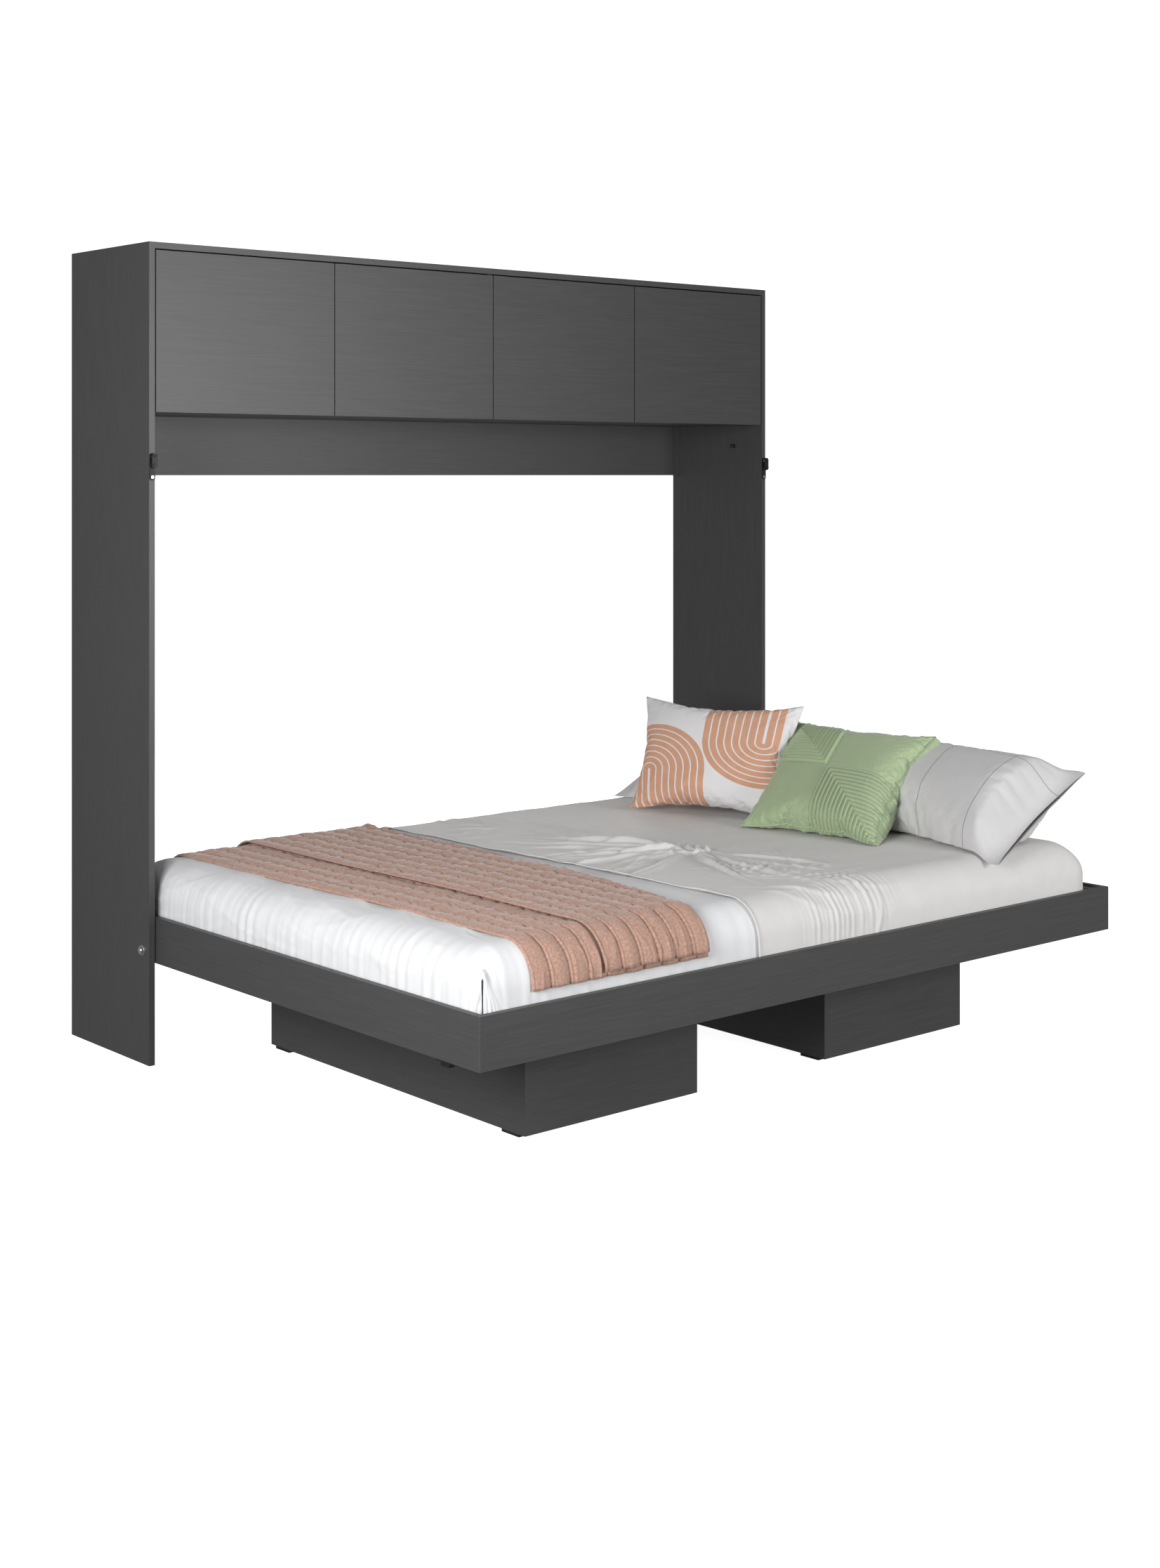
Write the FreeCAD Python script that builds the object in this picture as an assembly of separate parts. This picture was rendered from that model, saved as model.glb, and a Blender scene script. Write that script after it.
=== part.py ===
"""A full-size wall bed that tips up sideways into a shallow cabinet.

Row frame: X runs along the wall with the pillows at the +X end, Y runs from the room towards the wall,
Z is up. The origin is on the floor, at the centre of the whole object's plan. Units are millimetres.
The bed is drawn lowered, with the overhead doors shut and both latch levers turned up.
"""

import FreeCAD, Part
import math
import os

V = FreeCAD.Vector
X_AXIS = V(1, 0, 0)
Y_AXIS = V(0, 1, 0)
Z_AXIS = V(0, 0, 1)

# Driving dimensions of the cabinet
BOARD = 15.0
CABINET_WIDTH = 2032.0
CABINET_HEIGHT = 1910.0
CABINET_DEPTH = 378.0
DOOR_BOTTOM = 1515.0
DOOR_EDGE_GAP = 3.5
DOOR_GAP = 3.0
DOOR_BACK_GAP = 1.0
DOOR_COUNT = 4
BACK_PANEL = 3.0
REAR_RAIL_BOTTOM = 1368.0
HANGING_RAIL_HEIGHT = 80.0
WALL_STUD_PITCH = 406.4
WALL_SCREW_RADIUS = 3.0

# Driving dimensions of the bed
BED_PROJECTION = 1214.0
BED_END_GAP = 4.0
RAIL_BOTTOM = 235.5
RAIL_TOP = 341.5
PIVOT_SETBACK = 30.0
PIVOT_HEIGHT = 264.5
WALL_RAIL_SETBACK = 200.0
RAIL_CORNER_RADIUS = 3.0

# Mattress and bedding
MATTRESS = (1905.0, 1372.0, 203.0)
MATTRESS_CORNER = 75.0
MATTRESS_EDGE = 50.0
MATTRESS_FOOT_EDGE = 20.0
MATTRESS_GAP = 6.0
SHEET_THICKNESS = 2.5
THROW_THICKNESS = 6.0
CLOTH_CLEARANCE = 0.5

# Storage boxes under the bed, which are its legs
BOX_LENGTH = 959.0
BOX_WIDTH = 491.0
BOX_SPACING = 411.0
BOX_OFFSET = -10.0
BOX_WALL_SETBACK = 36.0
PAD_HEIGHT = 6.0
PAD_LENGTH = 57.0
PAD_INSET = 20.0
SHELF_RECESS = 10.0

# Hardware
BOLT_RADIUS = 6.0
RUNNING_CLEARANCE = 0.05
FIT_CLEARANCE = 0.1
BUSH_RADIUS = 8.0
STOP_PIN_RADIUS = 5.5
STOP_PIN_LENGTH = 14.0
STOP_PIN_HEIGHT = 1454.5
LATCH_HEIGHT = 1390.0
LEVER_REACH = 22.0
LEVER_HALF_WIDTH = 7.0
KEEPER_BLOCK_PROUD = 11.0
SCREW_RADIUS = 2.0
SCREW_HEAD_RADIUS = 4.0
SCREW_LENGTH = 12.0
CUP_RADIUS = 17.5
CUP_DEPTH = 11.5
CUP_SETBACK = 22.5
HINGE_END_DISTANCE = 85.0
CAM_RADIUS = 7.5
CAM_DEPTH = 12.5
CAM_SETBACK = 34.0

# Places worked out from the driving dimensions
POST_OUT = CABINET_WIDTH / 2
POST_IN = POST_OUT - BOARD
BACK = (BED_PROJECTION + CABINET_DEPTH) / 2
POST_FRONT = BACK - CABINET_DEPTH
BED_FRONT = POST_FRONT - BED_PROJECTION
TOP_UNDERSIDE = CABINET_HEIGHT - BOARD
DOOR_TOP = TOP_UNDERSIDE - DOOR_EDGE_GAP
SHELF_TOP = DOOR_BOTTOM + BOARD
INNER_FRONT = POST_FRONT + BOARD + DOOR_BACK_GAP
PIVOT_Y = POST_FRONT + PIVOT_SETBACK
BED_OUT = POST_IN - BED_END_GAP
BED_IN = BED_OUT - BOARD
BED_FRONT_IN = BED_FRONT + BOARD
WALL_RAIL_OUT = POST_FRONT + WALL_RAIL_SETBACK
WALL_RAIL_IN = WALL_RAIL_OUT - BOARD
BASE_TOP = RAIL_BOTTOM + BOARD
MATTRESS_X = -BED_IN + MATTRESS_GAP
MATTRESS_Y = BED_FRONT_IN + MATTRESS_GAP
MATTRESS_TOP = BASE_TOP + MATTRESS[2]
BEDDING_TOP = MATTRESS_TOP + SHEET_THICKNESS + CLOTH_CLEARANCE + 2
BOX_WALL_END = POST_FRONT - BOX_WALL_SETBACK
BOX_FRONT_END = BOX_WALL_END - BOX_LENGTH
RAISED_RAIL_TOP_Y = PIVOT_Y + RAIL_TOP - PIVOT_HEIGHT
SIDES = (-1, 1)


def box(x0, x1, y0, y1, z0, z1):
    """A block between two corners, given in any order."""
    low = V(min(x0, x1), min(y0, y1), min(z0, z1))
    return Part.makeBox(abs(x1 - x0), abs(y1 - y0), abs(z1 - z0), low)


def cylinder(radius, start, axis, length):
    """A cylinder from a point along an axis. A negative length runs the other way."""
    if length < 0:
        return Part.makeCylinder(radius, -length, start, axis * -1)
    return Part.makeCylinder(radius, length, start, axis)


def edges_along(shape, axis, test=None):
    """Straight edges parallel to an axis, as long as they pass a test on their midpoint."""
    found = []
    for edge in shape.Edges:
        first, last = edge.Vertexes[0].Point, edge.Vertexes[-1].Point
        span = last.sub(first)
        if span.Length < 1e-6 or abs(abs(span.dot(axis)) - span.Length) > 1e-6:
            continue
        middle = (first + last) * 0.5
        if test is None or test(middle):
            found.append(edge)
    return found


def edge_lies_at(edge, level):
    """True for an edge that lies all along in the level plane at that height."""
    return abs(edge.BoundBox.ZMin - level) < 1e-4 and abs(edge.BoundBox.ZMax - level) < 1e-4


def export(node, *solids):
    """Writes one sub-part. Several solids in one node are separate identical pieces."""
    shape = solids[0] if len(solids) == 1 else Part.makeCompound(list(solids))
    if not shape.isValid():
        raise ValueError(node + " is not a valid shape")
    shape.exportStep("parts/" + node + ".step")


def countersunk_screw(head_centre, axis):
    """A screw whose flat head starts at head_centre and whose shank runs along axis."""
    head = Part.makeCone(SCREW_HEAD_RADIUS, SCREW_RADIUS, 2.0, head_centre, axis)
    shank = cylinder(SCREW_RADIUS, head_centre, axis, SCREW_LENGTH)
    slot = Part.makeCylinder(1.5, 1.2, head_centre, axis)
    return head.fuse(shank).cut(slot).removeSplitter()


def screw_hole(head_centre, axis):
    """The clearance that countersunk_screw leaves in the pieces it goes through."""
    head = Part.makeCone(
        SCREW_HEAD_RADIUS + FIT_CLEARANCE, SCREW_RADIUS + FIT_CLEARANCE, 2.0, head_centre, axis
    )
    shank = cylinder(SCREW_RADIUS + FIT_CLEARANCE, head_centre, axis, SCREW_LENGTH + 1)
    return head.fuse(shank)


# ---------------------------------------------------------------- cabinet


def cam_joints():
    """Cam locks that draw the top panel and the overhead floor against the posts.

    Returns the discs, the dowels and the holes that both need.
    """
    discs, dowels, holes = [], [], []
    levels = ((TOP_UNDERSIDE, 1), (SHELF_TOP, -1))
    for side in SIDES:
        for face_z, into in levels:
            middle_z = face_z + into * BOARD / 2
            for y in (INNER_FRONT + 60, BACK - 60):
                mouth = V(side * (POST_IN - CAM_SETBACK), y, face_z)
                holes.append(cylinder(CAM_RADIUS, mouth, Z_AXIS, into * CAM_DEPTH))
                disc = cylinder(CAM_RADIUS - FIT_CLEARANCE, mouth, Z_AXIS, into * (CAM_DEPTH - 0.5))
                dowel_start = V(side * (POST_IN - CAM_SETBACK + 3), y, middle_z)
                dowel_length = CAM_SETBACK + 8
                hole = cylinder(3.6, dowel_start, X_AXIS * side, dowel_length)
                holes.append(hole)
                discs.append(disc.cut(hole))
                dowels.append(cylinder(3.5, dowel_start, X_AXIS * side, dowel_length - 0.5))
    return discs, dowels, holes


def hinge_places():
    """Each door's hinge side: its number, the hinged edge's x, the way the door runs, and the board
    face that carries the arms."""
    width = (2 * POST_IN - 2 * DOOR_EDGE_GAP - (DOOR_COUNT - 1) * DOOR_GAP) / DOOR_COUNT
    places = []
    for index in range(DOOR_COUNT):
        left = -POST_IN + DOOR_EDGE_GAP + index * (width + DOOR_GAP)
        hinged_left = index % 2 == 0
        edge = left if hinged_left else left + width
        run = 1 if hinged_left else -1
        carriers = (-POST_IN, -BOARD / 2, BOARD / 2, POST_IN)
        carrier = carriers[index]
        places.append((index + 1, left, width, edge, run, carrier))
    return places


def hinge_levels():
    return (DOOR_BOTTOM + HINGE_END_DISTANCE, DOOR_TOP - HINGE_END_DISTANCE)


def hinge_arm(carrier, run, z):
    """Mounting plate with its arm, screwed to the post or divider just behind the door's cup."""
    plate = box(carrier, carrier + run * 3, INNER_FRONT + 28, INNER_FRONT + 66, z - 20, z + 20)
    arm = box(carrier + run * 3, carrier + run * 16, INNER_FRONT + 6, INNER_FRONT + 66, z - 8, z + 8)
    hollow = box(carrier + run * 3, carrier + run * 13, INNER_FRONT + 8, INNER_FRONT + 26, z - 6, z + 6)
    screw_recess = cylinder(4, V(carrier + run * 16, INNER_FRONT + 47, z), X_AXIS * run, -4)
    return plate.fuse(arm).cut(hollow).cut(screw_recess).removeSplitter()


def make_doors():
    for number, left, width, edge, run, _ in hinge_places():
        door = box(left, left + width, POST_FRONT, POST_FRONT + BOARD, DOOR_BOTTOM, DOOR_TOP)
        back = POST_FRONT + BOARD
        cups = []
        for z in hinge_levels():
            centre = V(edge + run * CUP_SETBACK, back, z)
            door = door.cut(cylinder(CUP_RADIUS, centre, Y_AXIS, -CUP_DEPTH))
            cup = cylinder(CUP_RADIUS - FIT_CLEARANCE, centre, Y_AXIS, -(CUP_DEPTH - 0.2))
            flange = box(centre.x - 8, centre.x + 8, back, back + 1.2, z - 30, z + 30)
            inside = cylinder(CUP_RADIUS - 1.5, centre + V(0, 1.2, 0), Y_AXIS, -(CUP_DEPTH - 1))
            cups.append(cup.fuse(flange).cut(inside).removeSplitter())
        export("door_" + str(number), door)
        export("door_" + str(number) + "_hinge_cups", *cups)


def make_post(side, holes):
    post = box(side * POST_OUT, side * POST_IN, POST_FRONT, BACK, 0, CABINET_HEIGHT)
    pivot = V(side * (POST_OUT + 1), PIVOT_Y, PIVOT_HEIGHT)
    post = post.cut(cylinder(BOLT_RADIUS + FIT_CLEARANCE, pivot, X_AXIS * side, -(BOARD + 2)))
    pin_hole = cylinder(4, V(side * (POST_IN - 1), stop_pin_y(), STOP_PIN_HEIGHT), X_AXIS * side, 11)
    post = post.cut(pin_hole)
    for hole in holes:
        post = post.cut(hole)
    for place in latch_screw_places(side):
        post = post.cut(screw_hole(place, Y_AXIS))
    return post


def make_cabinet():
    discs, dowels, holes = cam_joints()
    export("left_side_panel", make_post(-1, holes))
    export("right_side_panel", make_post(1, holes))
    top = box(-POST_IN, POST_IN, POST_FRONT, BACK, TOP_UNDERSIDE, CABINET_HEIGHT)
    floor = box(-POST_IN, POST_IN, INNER_FRONT, BACK, DOOR_BOTTOM, SHELF_TOP)
    for hole in holes:
        top = top.cut(hole)
        floor = floor.cut(hole)
    export("top_panel", top)
    export("overhead_bottom_panel", floor)
    export("cabinet_cam_locks", *discs)
    export("cabinet_cam_dowels", *dowels)

    panel_front = BACK - BACK_PANEL
    divider = box(-BOARD / 2, BOARD / 2, INNER_FRONT, panel_front, SHELF_TOP, TOP_UNDERSIDE)
    export("centre_divider", divider)
    back_panel = box(-POST_IN, POST_IN, panel_front, BACK, SHELF_TOP, TOP_UNDERSIDE)
    rail_z = TOP_UNDERSIDE - HANGING_RAIL_HEIGHT
    rails = [
        box(side * POST_IN, side * BOARD / 2, panel_front - BOARD, panel_front, rail_z, TOP_UNDERSIDE)
        for side in SIDES
    ]
    for side in SIDES:
        for stud in (1, 2):
            start = V(side * stud * WALL_STUD_PITCH, panel_front - BOARD - 1, TOP_UNDERSIDE - 40)
            hole = cylinder(WALL_SCREW_RADIUS, start, Y_AXIS, BOARD + BACK_PANEL + 2)
            rails = [rail.cut(hole) for rail in rails]
            back_panel = back_panel.cut(hole)
    export("hanging_rails", *rails)
    export("overhead_back_panel", back_panel)

    export("rear_rail", box(-POST_IN, POST_IN, BACK - BOARD, BACK, REAR_RAIL_BOTTOM, DOOR_BOTTOM))
    cleat_back = BACK - BOARD
    cleats = [
        box(side * POST_IN, side * (POST_IN - BOARD), cleat_back - BOARD, cleat_back,
            REAR_RAIL_BOTTOM, DOOR_BOTTOM)
        for side in SIDES
    ]
    export("rear_rail_cleats", *cleats)

    arms = [
        hinge_arm(carrier, run, z)
        for _, _, _, _, run, carrier in hinge_places()
        for z in hinge_levels()
    ]
    export("door_hinge_arms", *arms)


# ---------------------------------------------------------------- pivots, stops and latches


def hexagon_prism(across_flats, start, axis, length):
    radius = across_flats / math.sqrt(3)
    points = []
    for step in range(7):
        angle = math.radians(60 * step)
        points.append(start + V(0, radius * math.cos(angle), radius * math.sin(angle)))
    return Part.Face(Part.makePolygon(points)).extrude(axis * length)


def ring(outer, inner, start, axis, length):
    tube = cylinder(outer, start, axis, length)
    return tube.cut(cylinder(inner, start, axis, length))


def make_pivots():
    bolts, washers, nuts, spacers, bushes = [], [], [], [], []
    washer = 2.0
    nut_height = 5.0
    dome_radius = 8.0
    for side in SIDES:
        outward = X_AXIS * side
        inner_face = V(side * (BED_IN - 0.3), PIVOT_Y, PIVOT_HEIGHT)
        head = cylinder(11, inner_face, outward, -3)
        shank = cylinder(BOLT_RADIUS, inner_face, outward, POST_OUT + washer + nut_height - BED_IN)
        bolts.append(head.fuse(shank).removeSplitter())
        outer_face = V(side * POST_OUT, PIVOT_Y, PIVOT_HEIGHT)
        washers.append(ring(12, BOLT_RADIUS + FIT_CLEARANCE, outer_face, outward, washer))
        nut_start = outer_face + outward * washer
        dome = Part.makeSphere(dome_radius, nut_start + outward * (nut_height - 3.5))
        nut = hexagon_prism(18, nut_start, outward, nut_height)
        dome = dome.common(cylinder(dome_radius, nut_start, outward, nut_height + dome_radius))
        thread = cylinder(BOLT_RADIUS + FIT_CLEARANCE, nut_start, outward, nut_height + 0.2)
        nuts.append(nut.fuse(dome).cut(thread).removeSplitter())
        gap_face = V(side * POST_IN, PIVOT_Y, PIVOT_HEIGHT)
        spacers.append(ring(14, BOLT_RADIUS + FIT_CLEARANCE, gap_face, outward, -(BED_END_GAP - 0.4)))
        bush_start = V(side * BED_IN, PIVOT_Y, PIVOT_HEIGHT)
        bushes.append(
            ring(BUSH_RADIUS - 0.02, BOLT_RADIUS + RUNNING_CLEARANCE, bush_start, outward, BOARD)
        )
    export("pivot_bolts", *bolts)
    export("pivot_washers", *washers)
    export("pivot_cap_nuts", *nuts)
    export("pivot_spacers", *spacers)
    export("pivot_bushes", *bushes)


def stop_pin_y():
    """The raised rail's top edge rests against the pin, just clear of it."""
    return RAISED_RAIL_TOP_Y + STOP_PIN_RADIUS + 0.4


def make_stop_pins():
    pins = []
    for side in SIDES:
        face = V(side * POST_IN, stop_pin_y(), STOP_PIN_HEIGHT)
        bumper = cylinder(STOP_PIN_RADIUS, face, X_AXIS * side, -STOP_PIN_LENGTH)
        tip_x = side * (POST_IN - STOP_PIN_LENGTH)
        rim = [edge for edge in bumper.Edges if abs(edge.CenterOfMass.x - tip_x) < 0.1]
        bumper = bumper.makeFillet(2.0, rim)
        stem = cylinder(4 - FIT_CLEARANCE, face, X_AXIS * side, 9.5)
        pins.append(bumper.fuse(stem).removeSplitter())
    export("stop_pins", *pins)


def latch_x(side):
    return side * (POST_OUT - BOARD / 2)


def latch_screw_places(side):
    return [V(latch_x(side), POST_FRONT - 3, LATCH_HEIGHT + dz) for dz in (-26, 21)]


def stadium(x, y, z0, z1, half_width, thickness):
    """A flat bar with round ends that stands along Z, its back face at y and its front towards -Y."""
    bar = box(x - half_width, x + half_width, y, y - thickness, z0, z1)
    for z in (z0, z1):
        bar = bar.fuse(cylinder(half_width, V(x, y, z), Y_AXIS, -thickness))
    return bar.removeSplitter()


def make_latches():
    plate_thickness = 3.0
    lever_back = RAIL_BOTTOM_RAISED_Y - KEEPER_BLOCK_PROUD - 0.4
    lever_thickness = 3.5
    stud_radius = 3.0
    grip_height = 3.0
    plates, screws = [], []
    for side, name in ((-1, "left"), (1, "right")):
        x = latch_x(side)
        low_end, high_end = LATCH_HEIGHT - 27, LATCH_HEIGHT + 22
        plate = stadium(x, POST_FRONT, low_end, high_end, LEVER_HALF_WIDTH, plate_thickness)
        pivot = V(x, POST_FRONT - plate_thickness, LATCH_HEIGHT)
        boss_length = pivot.y - lever_back - 0.3
        plate = plate.fuse(cylinder(6, pivot, Y_AXIS, -boss_length))
        stud_length = boss_length + lever_thickness + 0.9
        plate = plate.fuse(cylinder(stud_radius, pivot, Y_AXIS, -stud_length))
        plate = plate.fuse(cylinder(5, pivot - Y_AXIS * stud_length, Y_AXIS, -2)).removeSplitter()
        for place in latch_screw_places(side):
            plate = plate.cut(screw_hole(place, Y_AXIS))
            screws.append(countersunk_screw(place, Y_AXIS))
        plates.append(plate)
        tip_z = LATCH_HEIGHT + LEVER_REACH
        lever_front = lever_back - lever_thickness
        lever = stadium(x, lever_back, LATCH_HEIGHT, tip_z, LEVER_HALF_WIDTH, lever_thickness)
        bore_start = V(x, lever_back, LATCH_HEIGHT)
        bore = cylinder(stud_radius + RUNNING_CLEARANCE, bore_start, Y_AXIS, -lever_thickness)
        grip = box(x - 4, x + 4, lever_front, lever_front - grip_height, tip_z - 2, tip_z + 3)
        grip = grip.makeFillet(1.2, edges_along(grip, X_AXIS, lambda p: p.y < lever_front - 1))
        export(name + "_latch_lever", lever.cut(bore).fuse(grip).removeSplitter())
    export("latch_plates", *plates)
    export("latch_screws", *screws)


# The rails' lower face turns to the front when the bed is up.
RAIL_BOTTOM_RAISED_Y = PIVOT_Y + RAIL_BOTTOM - PIVOT_HEIGHT
KEEPER_CENTRE_Y = PIVOT_Y - (LATCH_HEIGHT + 9.5 - PIVOT_HEIGHT)


def keeper_screw_places(side):
    x = side * (BED_OUT - BOARD / 2)
    return [V(x, KEEPER_CENTRE_Y + dy, RAIL_BOTTOM - 3) for dy in (-23, 23)]


def make_keepers():
    keepers, screws = [], []
    for side in SIDES:
        x0, x1 = side * (BED_IN + 1), side * (BED_OUT - 1)
        plate = box(x0, x1, KEEPER_CENTRE_Y - 31, KEEPER_CENTRE_Y + 31, RAIL_BOTTOM - 3, RAIL_BOTTOM)
        plate = plate.makeFillet(3, edges_along(plate, Z_AXIS))
        block = box(x0, x1, KEEPER_CENTRE_Y - 14, KEEPER_CENTRE_Y + 14,
                    RAIL_BOTTOM - KEEPER_BLOCK_PROUD, RAIL_BOTTOM - 3)
        lower = RAIL_BOTTOM - KEEPER_BLOCK_PROUD + 1
        block = block.makeFillet(2, edges_along(block, X_AXIS, lambda p: p.z < lower))
        keeper = plate.fuse(block).removeSplitter()
        for place in keeper_screw_places(side):
            keeper = keeper.cut(screw_hole(place, Z_AXIS))
            screws.append(countersunk_screw(place, Z_AXIS))
        keepers.append(keeper)
    export("latch_keepers", *keepers)
    export("keeper_screws", *screws)


# ---------------------------------------------------------------- bed frame


def bracket_screw_places(side_x, y_face, into_y):
    """Screws of one corner bracket: two into the end rail and two into the long rail."""
    places = []
    for dz in (25, 65):
        z = BASE_TOP + dz
        places.append((V(side_x * (BED_IN - 2.5), y_face + into_y * 30, z), X_AXIS * side_x))
        places.append((V(side_x * (BED_IN - 30), y_face + into_y * 2.5, z), Y_AXIS * -into_y))
    return places


def bracket_corners():
    for side_x in SIDES:
        yield side_x, BED_FRONT_IN, 1
        yield side_x, WALL_RAIL_IN, -1


def make_bed_frame():
    rails = {
        "front_rail": box(-BED_IN, BED_IN, BED_FRONT, BED_FRONT_IN, RAIL_BOTTOM, RAIL_TOP),
        "wall_rail": box(-BED_IN, BED_IN, WALL_RAIL_IN, WALL_RAIL_OUT, RAIL_BOTTOM, RAIL_TOP),
    }
    for side, name in ((-1, "left_end_rail"), (1, "right_end_rail")):
        rail = box(side * BED_IN, side * BED_OUT, BED_FRONT, WALL_RAIL_OUT, RAIL_BOTTOM, RAIL_TOP)
        corners = edges_along(rail, Z_AXIS, lambda p: abs(p.x) > BED_OUT - 1)
        rail = rail.makeFillet(RAIL_CORNER_RADIUS, corners)
        start = V(side * (BED_IN - 1), PIVOT_Y, PIVOT_HEIGHT)
        rail = rail.cut(cylinder(BUSH_RADIUS, start, X_AXIS * side, BOARD + 2))
        for place in keeper_screw_places(side):
            rail = rail.cut(screw_hole(place, Z_AXIS))
        rails[name] = rail
    brackets, screws = [], []
    leg = 60.0
    sheet = 2.5
    for side_x, y_face, into_y in bracket_corners():
        x_face = side_x * BED_IN
        top = BASE_TOP + 85
        long_leg = box(x_face, x_face - side_x * leg, y_face, y_face + into_y * sheet, BASE_TOP, top)
        end_leg = box(x_face, x_face - side_x * sheet, y_face, y_face + into_y * leg, BASE_TOP, top)
        bracket = long_leg.fuse(end_leg).removeSplitter()
        for place, axis in bracket_screw_places(side_x, y_face, into_y):
            hole = screw_hole(place, axis)
            bracket = bracket.cut(hole)
            rails = {name: rail.cut(hole) for name, rail in rails.items()}
            screws.append(countersunk_screw(place, axis))
        brackets.append(bracket)
    for name, rail in rails.items():
        export(name, rail)
    export("bed_corner_brackets", *brackets)
    export("bracket_screws", *screws)
    width = 2 * BED_IN / 3
    for index, name in enumerate(("left", "centre", "right")):
        x0 = -BED_IN + index * width
        panel = box(x0, x0 + width, BED_FRONT_IN, WALL_RAIL_IN, RAIL_BOTTOM, BASE_TOP)
        export("base_panel_" + name, panel)


def make_storage_box(side, name):
    """Bottomless box: two long sides, two ends between them, two shelves and four floor pads."""
    inner = BOX_OFFSET + side * BOX_SPACING / 2
    outer = inner + side * BOX_WIDTH
    inner_face, outer_face = inner + side * BOARD, outer - side * BOARD

    def board(x0, x1, y0, y1, foot=PAD_HEIGHT):
        return box(x0, x1, y0, y1, foot, RAIL_BOTTOM)

    export(name + "_box_inner_side", board(inner, inner_face, BOX_FRONT_END, BOX_WALL_END))
    export(name + "_box_outer_side", board(outer, outer_face, BOX_FRONT_END, BOX_WALL_END))
    front_end = board(inner_face, outer_face, BOX_FRONT_END, BOX_FRONT_END + BOARD)
    export(name + "_box_front_end", front_end)
    wall_end = board(inner_face, outer_face, BOX_WALL_END - BOARD, BOX_WALL_END)
    export(name + "_box_wall_end", wall_end)
    shelves = []
    for step in (1, 2):
        start = BOX_FRONT_END + step * BOX_LENGTH / 3 - BOARD / 2
        shelves.append(board(inner_face, outer_face, start, start + BOARD, PAD_HEIGHT + SHELF_RECESS))
    export(name + "_box_shelves", *shelves)
    pads = []
    for x0, x1 in ((inner, inner_face), (outer, outer_face)):
        for y0, way in ((BOX_FRONT_END + PAD_INSET, 1), (BOX_WALL_END - PAD_INSET, -1)):
            pads.append(box(x0, x1, y0, y0 + way * PAD_LENGTH, 0, PAD_HEIGHT))
    export(name + "_box_floor_pads", *pads)


# ---------------------------------------------------------------- mattress and bedding


def make_mattress():
    length, width, height = MATTRESS
    x1, y1 = MATTRESS_X + length, MATTRESS_Y + width
    body = box(MATTRESS_X, x1, MATTRESS_Y, y1, BASE_TOP, BASE_TOP + height)
    body = body.makeFillet(MATTRESS_CORNER, edges_along(body, Z_AXIS))
    for level, radius in ((BASE_TOP + height, MATTRESS_EDGE), (BASE_TOP, MATTRESS_FOOT_EDGE)):
        rim = [edge for edge in body.Edges if edge_lies_at(edge, level)]
        body = body.makeFillet(radius, rim)
    return body


def drape_section(offset, lowest):
    """Outline across the bed of the mattress's top and sides, grown by an offset."""
    y0 = MATTRESS_Y - offset
    y1 = MATTRESS_Y + MATTRESS[1] + offset
    top = MATTRESS_TOP + offset
    radius = MATTRESS_EDGE + offset
    section = box(0, 1, y0, y1, lowest, top)
    return section.makeFillet(radius, edges_along(section, X_AXIS, lambda p: p.z > top - 1))


def draped_cloth(x0, x1, clearance, thickness, hem):
    """Cloth that lies over the mattress and hangs down its long sides to a hem."""
    outer = drape_section(clearance + thickness, hem)
    inner = drape_section(clearance, hem - 1)
    skin = outer.cut(inner)
    end = [face for face in skin.Faces if face.BoundBox.XMax < 0.001][0]
    cloth = end.extrude(V(x1 - x0, 0, 0))
    cloth.translate(V(x0, 0, 0))
    return cloth


def lens_wire(y, low, high, half_thickness):
    """Pointed-oval section of a cushion in the plane at y, from its low seam to its high seam."""
    chord = V(high[0] - low[0], 0, high[1] - low[1])
    normal = V(-chord.z, 0, chord.x).normalize()
    start, end = V(low[0], y, low[1]), V(high[0], y, high[1])
    middle = (start + end) * 0.5
    upper = Part.Arc(start, middle + normal * half_thickness, end).toShape()
    lower = Part.Arc(end, middle - normal * half_thickness, start).toShape()
    return Part.Wire([upper, lower])


def cushion(*sections):
    """Closed solid through pointed-oval sections: each a y, a low seam, a high seam and a half thickness."""
    return Part.makeLoft([lens_wire(*section) for section in sections], True, True)


def make_bedding():
    export("mattress", make_mattress())
    hem = RAIL_TOP + 3.5
    sheet_start, sheet_end = -250.0, 850.0
    export("top_sheet", draped_cloth(sheet_start, sheet_end, CLOTH_CLEARANCE, SHEET_THICKNESS, hem))
    throw_start, throw_end = -868.0, -345.0
    throw = draped_cloth(throw_start, throw_end, CLOTH_CLEARANCE, THROW_THICKNESS, hem + 20)
    export("throw_blanket", throw)
    z = BEDDING_TOP + 6
    pillow, square, oblong = 52, 45, 42
    # The front pillow tapers to its front end, which passes under the overhead cabinet and then in
    # front of the rear rail as the bed is raised.
    front_pillow = cushion(
        (-750, (580, z), (900, z + 95), 34),
        (-540, (598, z), (920, z + 175), pillow),
        (-150, (655, z), (910, z + 205), pillow),
    )
    export("sleeping_pillow_front", front_pillow)
    rear_pillow = cushion(
        (-120, (655, z), (910, z + 205), pillow),
        (570, (520, z), (905, z + 190), pillow),
    )
    export("sleeping_pillow_rear", rear_pillow)
    square_cushion = cushion(
        (-500, (478, z), (780, z + 230), square),
        (-95, (435, z), (740, z + 235), square),
    )
    export("square_cushion", square_cushion)
    oblong_cushion = cushion(
        (-80, (520, z), (660, z + 290), oblong),
        (325, (390, z), (530, z + 290), oblong),
    )
    export("oblong_cushion", oblong_cushion)


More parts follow.
